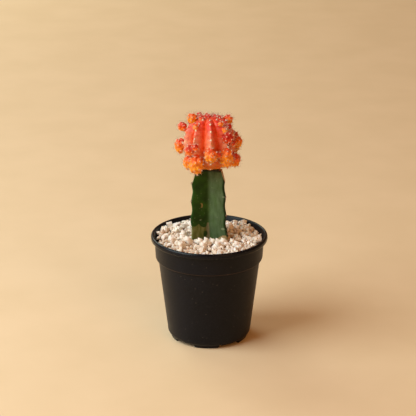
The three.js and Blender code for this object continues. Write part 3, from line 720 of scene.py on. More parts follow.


# Living epidermis under wax: deep green and satin, with a pale bloom, and cork where it was pared or has
# aged; the bloom's front share, the right edge and the top carry painted light and shade
def waxyEpidermis():
    material, tree, shader = newMaterial("waxyStockEpidermis")
    place = addNode(tree, "ShaderNodeTexCoord").outputs["Object"]
    given = {name: addNode(tree, "ShaderNodeAttribute", attribute_name=name).outputs["Fac"]
             for name in ("cork", "scar", "spot", "bloom", "along", "cutSkin")}
    # Streaks run along the stem, so their pattern is stretched in height
    stretched = addNode(tree, "ShaderNodeMapping", {"Vector": place, "Scale": (1.0, 1.0, 0.35)})
    streak = addNode(tree, "ShaderNodeTexNoise",
                     {"Vector": stretched, "Scale": perMm(2.2), "Detail": 5.0, "Roughness": 0.6})
    cloud = addNode(tree, "ShaderNodeTexNoise", {"Vector": place, "Scale": perMm(6), "Detail": 3.0})
    green = addNode(tree, "ShaderNodeValToRGB", {"Fac": cloud},
                    stops=[(0.3, "#142C02"), (0.5, "#1B3A04"), (0.72, "#284C0A")])
    edge = addNode(tree, "ShaderNodeMapRange", {0: given["along"], 1: 0.8, 2: 1.0, 3: 0.0, 4: 0.5})
    # Bloom: a pale wax, rubbed thin in places; on the front it is painted sheen, full on the lit right flank
    # and almost none on the shaded left
    patchy = addNode(tree, "ShaderNodeMapRange", {0: streak, 1: 0.3, 2: 0.7, 3: 0.45, 4: 1.0})
    wax = addNode(tree, "ShaderNodeMath", {0: given["bloom"], 1: patchy}, operation="MULTIPLY")
    bloom = addNode(tree, "ShaderNodeMath", {0: wax, 1: 0.46}, operation="MULTIPLY")
    # Painted shade: the right-hand rib's edge, which turns away from the light, is painted dark green without
    # wax
    axes = addNode(tree, "ShaderNodeSeparateXYZ", {0: place})
    across, level = axes.outputs["X"], axes.outputs["Z"]
    rightHand = addNode(tree, "ShaderNodeMath", {0: across, 1: 6 * mm}, operation="GREATER_THAN")
    rim = addNode(tree, "ShaderNodeMapRange", {0: given["along"], 1: 0.88, 2: 0.95, 3: 0.0, 4: 0.9})
    paintedEdgeShade = addNode(tree, "ShaderNodeMath", {0: rim, 1: rightHand}, operation="MULTIPLY")
    # Pale lenticels, about one to 3 mm
    cell = addNode(tree, "ShaderNodeTexVoronoi", {"Vector": place, "Scale": perMm(2.8)})
    lenticel = addNode(tree, "ShaderNodeMapRange", {0: cell, 1: 0.07, 2: 0.13, 3: 0.22, 4: 0.0})
    # Cork: an olive buff skin whose edge is ragged at 0.8 mm
    ragged = addNode(tree, "ShaderNodeTexNoise", {"Vector": place, "Scale": perMm(0.8), "Detail": 3.0})
    shift = addNode(tree, "ShaderNodeMath", {0: ragged, 1: -0.5})
    edgeOfCork = addNode(tree, "ShaderNodeMath", {0: given["cork"], 1: shift})
    corked = addNode(tree, "ShaderNodeMapRange", {0: edgeOfCork, 1: -0.25, 2: 0.35, 3: 0.0, 4: 1.0})
    corkTone = addNode(tree, "ShaderNodeValToRGB", {"Fac": streak},
                       stops=[(0.3, "#444A1C"), (0.5, "#5E6130"), (0.7, "#78784C")])
    # It is drier and paler beside the valley and on the right-hand rib
    paler = addNode(tree, "ShaderNodeMapRange", {0: across, 1: -2.4 * mm, 2: -1.5 * mm, 3: 0.0, 4: 0.85})
    further = addNode(tree, "ShaderNodeMapRange", {0: across, 1: 0.5 * mm, 2: 3.5 * mm, 3: 0.0, 4: 1.0})
    paleTone = addNode(tree, "ShaderNodeValToRGB", {"Fac": further},
                       stops=[(0.0, "#747058"), (1.0, "#AA946C")])
    corkSkin = addNode(tree, "ShaderNodeMix", {0: paler, 6: corkTone, 7: paleTone}, data_type="RGBA")
    # A dark brown band at the top: partly the dried callus where the scion was set on, partly painted shade
    # under the head
    uneven = addNode(tree, "ShaderNodeMath", {0: ragged, 1: 1.4 * mm, 2: level}, operation="MULTIPLY_ADD")
    callusAndShade = addNode(tree, "ShaderNodeMapRange", {0: uneven, 1: 120.9 * mm, 2: 122.0 * mm, 3: 0.0, 4: 0.85})
    tone = green
    for share, colour in ((edge, "#1E4A18"), (bloom, "#7E9674"), (paintedEdgeShade, "#0F2604"), (lenticel, "#9DAA86"),
                          (given["spot"], "#A9B395"), (corked, corkSkin), (given["scar"], "#A8804E"),
                          (callusAndShade, "#1A0E05"), (given["cutSkin"], "#B59A80")):
        tone = addNode(tree, "ShaderNodeMix", {0: share, 6: tone, 7: colour}, data_type="RGBA")
    dry = addNode(tree, "ShaderNodeMath", {0: corked, 1: given["cutSkin"]}, operation="MAXIMUM")
    rough = addNode(tree, "ShaderNodeMapRange", {0: dry, 3: 0.42, 4: 0.8})
    pores = addNode(tree, "ShaderNodeTexNoise", {"Vector": place, "Scale": perMm(0.5), "Detail": 3.0})
    bump = addNode(tree, "ShaderNodeBump", {"Height": pores, "Strength": 0.3, "Distance": 0.06 * mm})
    connect(tree, shader, {"Base Color": tone, "Roughness": rough, "IOR": 1.42,
                           "Specular IOR Level": 0.2, "Subsurface Weight": 0.08,
                           "Subsurface Radius": (0.5, 1.0, 0.25), "Subsurface Scale": 0.8 * mm,
                           "Normal": bump})
    return material


stockPiece = makeStock()
stockPiece.data.materials.append(waxyEpidermis())
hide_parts("green_stock")
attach(stockPiece, "root")
print("stock made", len(stockPiece.data.polygons))

# Scion: a ribbed ball, with offsets that sprout from it
scion = {
    "base": 122.4, "middle": 138.6, "rise": 19.0, "depth": 16.5, "crest": 17.3,
    "shoulder": 0.55, "belly": 0.65,        # how bluntly it rounds over above and below the middle
    "ribs": 9, "frontRib": 4, "groove": 0.27, "grooveAtBase": 0.55,
    "lowest": -80, "highest": 86,
    "crownDip": 0.9, "swell": 0.9, "lumps": 1.1, "firstAreole": -37, "highestAreole": 72, "areoleStep": 14,
    "columns": 252, "rows": 104,
    # Offsets: degrees right of the front, degrees up, distance out, radius, height to width, and warmth from
    # red (0) to orange (1)
    "offsets": [
        (-100, 32, 21.7, 3.3, 1, 0.5), (-94, -4.5, 19.3, 4.4, 1.3, 0.72), (-30.5, -30, 19.6, 5.2, 1.35, 0.9),
        (-55, -30, 19.5, 3.8, 1.4, 0.85), (-46, -1, 18.1, 3.1, 1.25, 0.4), (-31, 8, 18.0, 2.2, 1.1, 0.35),
        (3.5, -7, 18.5, 4.7, 1.1, 0.8), (20, -8, 17.9, 2.1, 1, 0.4), (40, -17, 18.8, 4.9, 1.45, 0.95),
        (78, -29, 20.2, 4.1, 1.25, 0.6), (90, 5, 19.1, 3.5, 1.25, 0.85), (48, 27, 18.8, 3.8, 1.2, 0.02),
        (60, 12, 17.8, 2.6, 1, 0.2), (62, 44, 20.5, 2.2, 1, 0.15), (45, 41, 19.9, 2.0, 1.3, 0.9),
        (41, 55, 20.8, 1.9, 1, 0.8), (122, 45, 21.3, 3.5, 1, 0.75), (144, 45, 20.2, 2.1, 1, 0.0),
        (154, 48, 20.5, 2.0, 1, 0.0), (166, 49, 20.5, 2.1, 1, 0.05), (185, 50, 20.7, 2.3, 1, 0.1),
        (-144, 57, 21.0, 2.0, 1.2, 0.03), (-83, 58, 21.9, 3.7, 1, 0.92), (-84, 63, 21.3, 2.0, 1, 0.15),
        (-55, 72, 20.3, 2.0, 1, 0.4), (-41, 47, 20.3, 1.8, 1.5, 0.9), (-120, 43, 20.1, 1.8, 1, 0.15),
        (180, 83, 18.6, 2.0, 1, 0.1), (125, 75, 19.0, 1.8, 1, 0.05),
        (110, 68, 19.3, 1.9, 1, 0.05), (-117, 71, 19.3, 1.9, 1, 0.15),
    ],
    "backOffsets": 12, "backSideStep": 0.7549, "backRiseStep": 0.5698, "backSeed": 17,
    "hollow": 0.79,                    # how far out the gaps between tubercles reach, against their tips
    "tuberclePitch": (1.5, 0.36),      # their spacing: a least, and a share of the offset's radius
    "tubercleReach": 0.62,             # how far a tubercle spreads, as a share of the spacing
    "cell": 0.87,                      # area of a tubercle's cell, as a share of the square of its spacing
    "jitter": 0.22,
    "fineFrom": 2.7,                   # offsets of a larger radius get the finer ball
    "neckFrom": 0.6, "neckWidth": 0.7,
    "warmBelow": 0.62,                 # how much more orange an offset is underneath
    "tipReach": 0.55,                  # how far a tubercle's paler tip goes, as a share of the spacing
    "bareTip": (0.45, 0.2),            # an areole needs a tip this near to the skin, facing out of it
    "areoleSize": (0.42, 0.035),       # on an offset: a least size, and a share of its radius
    "seed": 5,
}


def steadyRandom(seed):  # repeatable draws from 0 to 1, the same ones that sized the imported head's offsets
    state = seed
    while True:
        state = (state + 0x6D2B79F5) & 0xFFFFFFFF
        mixed = (state ^ (state >> 15)) * (1 | state) & 0xFFFFFFFF
        mixed = (mixed + (mixed ^ (mixed >> 7)) * (61 | mixed)) & 0xFFFFFFFF ^ mixed
        yield ((mixed ^ (mixed >> 14)) & 0xFFFFFFFF) / 2 ** 32


def headDirection(side, up):
    side, up = math.radians(side - 90), math.radians(up)
    return Vector((math.cos(up) * math.cos(side), math.cos(up) * math.sin(side), math.sin(up)))


def allOffsets():
    draws = steadyRandom(scion["backSeed"])
    places = list(scion["offsets"])
    for i in range(1, scion["backOffsets"] + 1):
        rise = i * scion["backRiseStep"] % 1
        size = lerp(4.9, 2.3, rise) * (0.85 + 0.3 * next(draws))
        side = lerp(108, 252, i * scion["backSideStep"] % 1)
        up, out, warmth = lerp(-38, 50, rise), scion["crest"] + 0.35 * size, lerp(0.85, 0.2, rise)
        places.append((side, up, out, size, 1, warmth))
    return places


def ribbedBallTree():
    tree, given = newTree("ribbedBall", {
        "Ribs": ("Float", 9.0), "Crest": ("Float", 17 * mm), "Rise": ("Float", 17 * mm),
        "Depth": ("Float", 19 * mm), "Middle": ("Float", 138 * mm), "Base": ("Float", 121 * mm),
        "Lowest": ("Float", -1.1), "Highest": ("Float", 1.5), "Groove": ("Float", 0.25),
        "Groove At Base": ("Float", 0.5), "Front": ("Float", 0.0), "Swell": ("Float", 0.5 * mm),
        "Areole Step": ("Float", 0.33), "First Areole": ("Float", -0.6), "Crown Dip": ("Float", 1 * mm),
        "Lumps": ("Float", 0.3 * mm), "Shoulder": ("Float", 0.55), "Belly": ("Float", 0.7),
        "Columns": ("Int", 252), "Rows": ("Int", 104), "Material": ("Material", None)})
    ends = 4     # rows that close the ball at each end
    value = dict(given.items())
    across = addNode(tree, "ShaderNodeMath", {0: given["Columns"], 1: 1.0})
    upward = addNode(tree, "ShaderNodeMath", {0: given["Rows"], 1: 2.0 * ends + 1})
    grid = addNode(tree, "GeometryNodeMeshGrid",
                   {"Size X": 1.0, "Size Y": 1.0, "Vertices X": across, "Vertices Y": upward})
    flat = addNode(tree, "ShaderNodeSeparateXYZ", {0: addNode(tree, "GeometryNodeInputPosition")})
    value["gridX"], value["gridY"] = flat.outputs["X"], flat.outputs["Y"]
    for name, operation, *terms in (
            ("turn", "ADD", "gridX", 0.5),
            ("allRows", "ADD", "Rows", 2.0 * ends),
            ("up", "ADD", "gridY", 0.5),
            ("row", "MULTIPLY_ADD", "up", "allRows", -ends),
            ("rise", "DIVIDE", "row", "Rows"),
            ("riseLow", "MAXIMUM", "rise", 0.0),
            ("share", "MINIMUM", "riseLow", 1.0),
            ("pastTop", "SUBTRACT", "row", "Rows"),
            ("pastTopRows", "MAXIMUM", "pastTop", 0.0),
            ("crown", "DIVIDE", "pastTopRows", ends),
            ("belowRows", "MULTIPLY", "row", -1.0 / ends),
            ("under", "MAXIMUM", "belowRows", 0.0),
            ("latitudes", "SUBTRACT", "Highest", "Lowest"),
            ("latitude", "MULTIPLY_ADD", "share", "latitudes", "Lowest"),
            ("cosine", "COSINE", "latitude"),
            ("northern", "GREATER_THAN", "latitude", 0.0),
            ("fuller", "SUBTRACT", "Shoulder", "Belly"),
            ("bluntness", "MULTIPLY_ADD", "northern", "fuller", "Belly"),
            ("taper", "POWER", "cosine", "bluntness"),
            ("crestRadius", "MULTIPLY", "Crest", "taper"),
            # Grooves run out towards the base
            ("southern", "MINIMUM", "latitude", 0.0),
            ("southShare", "DIVIDE", "southern", "Lowest"),
            ("fadeLoss", "SUBTRACT", "Groove At Base", 1.0),
            ("fade", "MULTIPLY_ADD", "southShare", "fadeLoss", 1.0),
            ("grooveDepth", "MULTIPLY", "Groove", "fade"),
            ("grooveShare", "SUBTRACT", 1.0, "grooveDepth"),
            ("grooveRadius", "MULTIPLY", "crestRadius", "grooveShare"),
            # Across a rib: 0 at its crest, 1 in the groove
            ("ribTurn", "MULTIPLY_ADD", "turn", "Ribs", 0.5),
            ("ribPhase", "FRACT", "ribTurn"),
            ("offCrest", "SUBTRACT", "ribPhase", 0.5),
            ("offSide", "ABSOLUTE", "offCrest"),
            ("flankShare", "MULTIPLY", "offSide", 2.0),
            ("flankFall", "POWER", "flankShare", 1.1),
            ("flank", "SUBTRACT", 1.0, "flankFall"),
            ("flankHeight", "SUBTRACT", "crestRadius", "grooveRadius"),
            ("plain", "MULTIPLY_ADD", "flankHeight", "flank", "grooveRadius"),
            # Swellings under the areoles
            ("fromFirst", "SUBTRACT", "latitude", "First Areole"),
            ("areoles", "DIVIDE", "fromFirst", "Areole Step"),
            ("areoleTurn", "ADD", "areoles", 0.5),
            ("areolePhase", "FRACT", "areoleTurn"),
            ("offAreole", "SUBTRACT", "areolePhase", 0.5),
            ("offUp", "MULTIPLY", "offAreole", 4.4),
            ("offUpSquare", "MULTIPLY", "offUp", "offUp"),
            ("offAcross", "MULTIPLY", "flankShare", 3.6),
            ("offSquare", "MULTIPLY_ADD", "offAcross", "offAcross", "offUpSquare"),
            ("offMinus", "MULTIPLY", "offSquare", -1.0),
            ("bump", "EXPONENT", "offMinus"),
            ("bumpHeight", "MULTIPLY", "bump", "Swell"),
            ("bumpThere", "MULTIPLY", "bumpHeight", "taper"),
            ("swollen", "ADD", "plain", "bumpThere"),
            ("openTop", "SUBTRACT", 1.0, "crown"),
            ("openBase", "SUBTRACT", 1.0, "under"),
            ("topped", "MULTIPLY", "swollen", "openTop"),
            ("radius", "MULTIPLY", "topped", "openBase"),
            ("angle", "MULTIPLY_ADD", "turn", 2 * math.pi, "Front"),
            ("cosAngle", "COSINE", "angle"),
            ("sinAngle", "SINE", "angle"),
            ("x", "MULTIPLY", "radius", "cosAngle"),
            ("y", "MULTIPLY", "radius", "sinAngle"),
            ("sine", "SINE", "latitude"),
            ("sineUp", "MAXIMUM", "sine", 0.0),
            ("sineDown", "MINIMUM", "sine", 0.0),
            ("upper", "MULTIPLY_ADD", "sineUp", "Rise", "Middle"),
            ("height", "MULTIPLY_ADD", "sineDown", "Depth", "upper"),
            ("crownSquare", "MULTIPLY", "crown", "crown"),
            ("dip", "MULTIPLY", "crownSquare", "Crown Dip"),
            ("dipped", "SUBTRACT", "height", "dip"),
            ("z", "MAXIMUM", "dipped", "Base")):
        links = {i: value[term] if isinstance(term, str) else term for i, term in enumerate(terms)}
        value[name] = addNode(tree, "ShaderNodeMath", links, operation=operation)
    place = addNode(tree, "ShaderNodeCombineXYZ", {0: value["x"], 1: value["y"], 2: value["z"]})
    formed = addNode(tree, "GeometryNodeSetPosition", {"Geometry": grid, "Position": place})
    closed = addNode(tree, "GeometryNodeMergeByDistance", {"Geometry": formed, "Distance": 0.01 * mm})
    # Growth is never even: lumps of about 5 mm, with pits in them
    lump = addNode(tree, "ShaderNodeTexNoise", {"Scale": perMm(5), "Detail": 3.0, "Roughness": 0.6})
    centred = addNode(tree, "ShaderNodeMath", {0: lump, 1: 0.5}, operation="SUBTRACT")
    height = addNode(tree, "ShaderNodeMath", {0: centred, 1: given["Lumps"]}, operation="MULTIPLY")
    normal = addNode(tree, "GeometryNodeInputNormal")
    shift = addNode(tree, "ShaderNodeVectorMath", {0: normal, "Scale": height}, operation="SCALE")
    lumpy = addNode(tree, "GeometryNodeSetPosition", {"Geometry": closed, "Offset": shift})
    dressed = addNode(tree, "GeometryNodeSetMaterial", {"Geometry": lumpy, "Material": given["Material"]})
    addNode(tree, "NodeGroupOutput", {"Geometry": dressed})
    return tree


def tubercledBallTree():  # a ball that rises to a point at each vertex of the mesh that it is run on
    tree, given = newTree("tubercledBall", {
        "Detail": ("Int", 4), "Hollow": ("Float", 0.8), "Reach": ("Float", 0.3),
        "Size": ("Vector", (1, 1, 1)), "Rotation": ("Vector", (0, 0, 0)), "Place": ("Vector", (0, 0, 0)),
        "Material": ("Material", None)})
    ball = addNode(tree, "GeometryNodeMeshIcoSphere", {"Radius": 1.0, "Subdivisions": given["Detail"]})
    here = addNode(tree, "GeometryNodeInputPosition")
    nearest = addNode(tree, "GeometryNodeSampleNearest",
                      {"Geometry": given["Geometry"], "Sample Position": here})
    tip = addNode(tree, "GeometryNodeSampleIndex",
                  {"Geometry": given["Geometry"], "Value": here, "Index": nearest}, data_type="FLOAT_VECTOR")
    away = addNode(tree, "ShaderNodeVectorMath", {0: here, 1: tip}, operation="DISTANCE")
    value = {"away": away, "Reach": given["Reach"], "Hollow": given["Hollow"]}
    for name, operation, *terms in (
            ("far", "DIVIDE", "away", "Reach"),
            ("share", "MINIMUM", "far", 1.0),
            ("square", "MULTIPLY", "share", "share"),
            ("round", "SUBTRACT", 1.0, "square"),
            ("rest", "SUBTRACT", 1.0, "share"),
            ("pointed", "POWER", "rest", 1.3),
            ("roundPart", "MULTIPLY", "round", 0.6),
            ("profile", "MULTIPLY_ADD", "pointed", 0.4, "roundPart"),
            ("lift", "SUBTRACT", 1.0, "Hollow"),
            ("radius", "MULTIPLY_ADD", "profile", "lift", "Hollow")):
        links = {i: value[term] if isinstance(term, str) else term for i, term in enumerate(terms)}
        value[name] = addNode(tree, "ShaderNodeMath", links, operation=operation)
    pushed = addNode(tree, "ShaderNodeVectorMath", {0: here, "Scale": value["radius"]}, operation="SCALE")
    formed = addNode(tree, "GeometryNodeSetPosition", {"Geometry": ball, "Position": pushed})
    turn = addNode(tree, "FunctionNodeEulerToRotation", {0: given["Rotation"]})
    standing = addNode(tree, "GeometryNodeTransform", {
        "Geometry": formed, "Translation": given["Place"], "Rotation": turn, "Scale": given["Size"]})
    dressed = addNode(tree, "GeometryNodeSetMaterial", {"Geometry": standing, "Material": given["Material"]})
    addNode(tree, "NodeGroupOutput", {"Geometry": dressed})
    return tree


def spiralDirections(count, reach, draws):  # even places on a ball, in the spirals that tubercles grow in
    made = []
    for i in range(count):
        up = 1 - (2 * i + 1) / count
        flat = math.sqrt(1 - up * up)
        jitter = Vector([draws.uniform(-1, 1) for axis in range(3)]) * scion["jitter"] * reach
        place = Vector((flat * math.cos(i * goldenAngle), flat * math.sin(i * goldenAngle), up))
        made.append((place + jitter).normalized())
    return made


def sproutTubercles(sprouts, tree, name, directions, **values):  # a tubercled ball, set aside for the join
    piece = growPiece(name, meshFrom(name + "Tips", directions, []), tree, values)
    bpy.context.scene.collection.objects.unlink(piece)
    sprouts.objects.link(piece)


def makeScion(material):
    draws = random.Random(scion["seed"])
    inMm = {label: scion[key] * mm for label, key in (
        ("Crest", "crest"), ("Rise", "rise"), ("Depth", "depth"), ("Middle", "middle"), ("Base", "base"),
        ("Swell", "swell"), ("Crown Dip", "crownDip"), ("Lumps", "lumps"))}
    inDegrees = {label: math.radians(angle) for label, angle in (
        ("Lowest", scion["lowest"]), ("Highest", scion["highest"]), ("Front", scion["frontRib"] - 90),
        ("Areole Step", scion["areoleStep"]), ("First Areole", scion["firstAreole"]))}
    ball = growPiece("scionBody", meshFrom("seed", [(0, 0, 0)], []), ribbedBallTree(), {
        "Ribs": float(scion["ribs"]), "Groove": scion["groove"], "Groove At Base": scion["grooveAtBase"],
        "Shoulder": scion["shoulder"], "Belly": scion["belly"], "Columns": scion["columns"],
        "Rows": scion["rows"], "Material": material, **inMm, **inDegrees})
    middle = Vector((0, 0, scion["middle"]))
    tubercled = tubercledBallTree()
    sprouts = bpy.data.collections.new("sprouts")
    bpy.context.scene.collection.children.link(sprouts)
    offsets = []
    least, share = scion["tuberclePitch"]
    for n, (side, up, out, radius, tall, warmth) in enumerate(allOffsets()):
        outward = headDirection(side, up)
        centre = middle + outward * out
        pitch = (least + share * radius) / radius
        count = round(4 * math.pi / (pitch * pitch * scion["cell"]))
        turn = Vector((0, 0, 1)).rotation_difference(outward) @ Quaternion((0, 0, 1), draws.uniform(0, 6.28))
        directions = [turn @ d for d in spiralDirections(count, pitch, draws)]
        size = Vector((radius, radius, radius * tall))
        sproutTubercles(sprouts, tubercled, "offset%02d" % n, directions, Size=size * mm, Place=centre * mm,
                        Reach=pitch * scion["tubercleReach"], Detail=5 if radius > scion["fineFrom"] else 4,
                        Hollow=scion["hollow"], Material=material)
        offsets.append({"centre": centre, "size": size, "warmth": warmth, "pitch": pitch * radius,
                        "tips": [centre + d * size for d in directions]})
        if out > scion["crest"] + scion["neckFrom"] * radius:     # a neck carries what stands off
            half = (out - scion["crest"] * 0.7) / 2
            width = radius * scion["neckWidth"]
            facing = Vector(outward.to_track_quat("Z", "Y").to_euler())
            sproutTubercles(sprouts, tubercled, "neck%02d" % n, spiralDirections(16, 0.8, draws), Reach=0.5,
                            Detail=4, Size=Vector((width, width, half * 1.25)) * mm,
                            Place=(centre - outward * half) * mm, Rotation=facing,
                            Hollow=scion["hollow"], Material=material)
    join = ball.modifiers.new("grown", "BOOLEAN")
    join.operation = "UNION"
    join.operand_type = "COLLECTION"
    join.collection = sprouts
    join.solver = "MANIFOLD"
    keepResult(ball)
    for piece in list(sprouts.objects):
        bpy.data.objects.remove(piece)
    bpy.data.collections.remove(sprouts)
    return ball, offsets


# What the flesh is coloured by: whether a point is on the ball, how warm its offset is there, how near it is
# to a tubercle's tip and how deep in a groove
def markScion(piece, offsets):
    mesh = piece.data
    skinReach = 1.04      # an offset's own points lie within this share of its size
    points = np.empty(len(mesh.vertices) * 3, np.float32)
    mesh.vertices.foreach_get("co", points)
    points = points.reshape(-1, 3) / mm
    inside = np.full(len(points), skinReach)
    warmth = np.zeros(len(points))
    tip = np.zeros(len(points))
    for offset in offsets:
        away = points - np.array(offset["centre"])
        share = np.linalg.norm(away / np.array(offset["size"]), axis=1)
        mine = share < inside
        inside[mine] = share[mine]
        # Each offset is redder on top, where the light has reached it, and more orange below
        low = -away[:, 2] / offset["size"].z
        warmth[mine] = (offset["warmth"] + scion["warmBelow"] * low)[mine]
        tips = np.array(offset["tips"])
        near = np.sqrt(((points[mine][:, None, :] - tips[None]) ** 2).sum(2)).min(1)
        tip[mine] = np.clip(1 - near / (scion["tipReach"] * offset["pitch"]), 0, 1)
    onBall = inside >= skinReach
    side = np.degrees(np.arctan2(points[:, 1], points[:, 0])) + 90 - scion["frontRib"]
    phase = (side * scion["ribs"] / 360 + 0.5) % 1
    storeOnPoints(mesh, "onBall", onBall)
    storeOnPoints(mesh, "warmth", np.where(onBall, 0, warmth))
    storeOnPoints(mesh, "tip", tip)
    storeOnPoints(mesh, "groove", np.where(onBall, np.abs(phase - 0.5) * 2, 0))


# Flesh with no green in it: a thin clear skin over juicy tissue, red in the light and orange in its shade
def juicyFlesh():
    material, tree, shader = newMaterial("juicyRedScionFlesh")
    place = addNode(tree, "ShaderNodeTexCoord").outputs["Object"]
    given = {name: addNode(tree, "ShaderNodeAttribute", attribute_name=name).outputs["Fac"]
             for name in ("onBall", "warmth", "tip", "groove")}
    height = addNode(tree, "ShaderNodeSeparateXYZ", {0: place}).outputs["Z"]
    cloud = addNode(tree, "ShaderNodeTexNoise",
                    {"Vector": place, "Scale": perMm(2.6), "Detail": 4.0, "Roughness": 0.6})
    # The ball: coral on the flanks, redder in the grooves and in clouds of about 2.6 mm, orange brown below
    upper = addNode(tree, "ShaderNodeValToRGB", {"Fac": given["groove"]},
                    stops=[(0.0, "#E04234"), (0.4, "#DC3426"), (0.8, "#EA3C0A"), (1.0, "#F04E06")])
    lower = addNode(tree, "ShaderNodeValToRGB", {"Fac": given["groove"]},
                    stops=[(0.0, "#ECB294"), (0.4, "#E88C68"), (0.8, "#EA5E22"), (1.0, "#EA5E0A")])
    down = addNode(tree, "ShaderNodeMapRange", {0: height, 1: 154 * mm, 2: 142 * mm, 3: 0.0, 4: 1.0})
    blush = addNode(tree, "ShaderNodeMapRange", {0: cloud, 1: 0.36, 2: 0.56, 3: 0.42, 4: 0.0})
    under = addNode(tree, "ShaderNodeMapRange", {0: height, 1: 139 * mm, 2: 127 * mm, 3: 0.0, 4: 1.0})
    ball = upper
    for share, colour in ((down, lower), (blush, "#CC2A18"), (under, "#DE7418")):
        ball = addNode(tree, "ShaderNodeMix", {0: share, 6: ball, 7: colour}, data_type="RGBA")
    # Offsets: the same clouds shift them between red and orange, and a painted shade of the deepest red fills
    # the gaps between tubercles
    shift = addNode(tree, "ShaderNodeMath", {0: cloud, 1: 0.8, 2: -0.32}, operation="MULTIPLY_ADD")
    mixed = addNode(tree, "ShaderNodeMath", {0: given["warmth"], 1: shift})
    sprout = addNode(tree, "ShaderNodeValToRGB", {"Fac": mixed},
                     stops=[(0.0, "#C01C10"), (0.35, "#E0400A"), (0.7, "#FC8010"), (1.0, "#FFA41A")])
    gap = addNode(tree, "ShaderNodeMapRange", {0: given["tip"], 1: 0.0, 2: 0.4, 3: 0.34, 4: 0.0})
    # Waxy bloom: a frost of about 0.7 mm that gathers in the clouds, and paler tips
    frost = addNode(tree, "ShaderNodeTexNoise",
                    {"Vector": place, "Scale": perMm(0.7), "Detail": 3.0, "Roughness": 0.7})
    patch = addNode(tree, "ShaderNodeMapRange", {0: cloud, 1: 0.4, 2: 0.68, 3: -0.18, 4: 0.16})
    gathered = addNode(tree, "ShaderNodeMath", {0: frost, 1: patch})
    bloom = addNode(tree, "ShaderNodeMapRange", {0: gathered, 1: 0.42, 2: 0.68, 3: 0.0, 4: 0.36})
    crown = addNode(tree, "ShaderNodeMapRange", {0: given["tip"], 1: 0.6, 2: 0.95, 3: 0.0, 4: 0.28})
    tone = sprout
    for share, colour in ((gap, "#B82008"), (given["onBall"], ball), (bloom, "#FF8C72"), (crown, "#FFB27C")):
        tone = addNode(tree, "ShaderNodeMix", {0: share, 6: tone, 7: colour}, data_type="RGBA")
    cells = addNode(tree, "ShaderNodeTexVoronoi", {"Vector": place, "Scale": perMm(0.4)})
    bump = addNode(tree, "ShaderNodeBump", {"Height": cells, "Strength": 0.25, "Distance": 0.06 * mm})
    connect(tree, shader, {"Base Color": tone, "Roughness": 0.4, "IOR": 1.4, "Subsurface Weight": 0.5,
                           "Subsurface Radius": (1.0, 0.33, 0.1), "Subsurface Scale": 2.0 * mm,
                           "Normal": bump})
    return material


# Areoles sit on the crests of the ribs and on the tips of the tubercles, where nothing has grown over them
def scionAreoles(piece, offsets):
    skin = BVHTree.FromPolygons([v.co / mm for v in piece.data.vertices],
                                [p.vertices for p in piece.data.polygons])
    made = []
    for rib in range(scion["ribs"]):
        side = scion["frontRib"] + rib * 360 / scion["ribs"]
        for latitude in range(scion["firstAreole"], scion["highestAreole"], scion["areoleStep"]):
            outward = headDirection(side, latitude)
            up = math.radians(latitude)
            start = Vector((0, 0, scion["middle"] + 0.35 * scion["rise"] * math.sin(up))) + outward * 30
            hit, normal, *_ = skin.ray_cast(start, -outward)
            crest = scion["crest"] * math.cos(up) ** scion["shoulder" if latitude > 0 else "belly"]
            if hit and math.hypot(hit.x, hit.y) < crest + 1.0:
                made.append((hit, (normal + outward).normalized(), 1.0))
    reach, facing = scion["bareTip"]
    least, share = scion["areoleSize"]
    for offset in offsets:
        for tip in offset["tips"]:
            near, normal, _, distance = skin.find_nearest(tip)
            outward = (tip - offset["centre"]).normalized()
            if distance < reach and normal.dot(outward) > facing:
                made.append((near, outward, least + share * offset["size"].x))
    return made


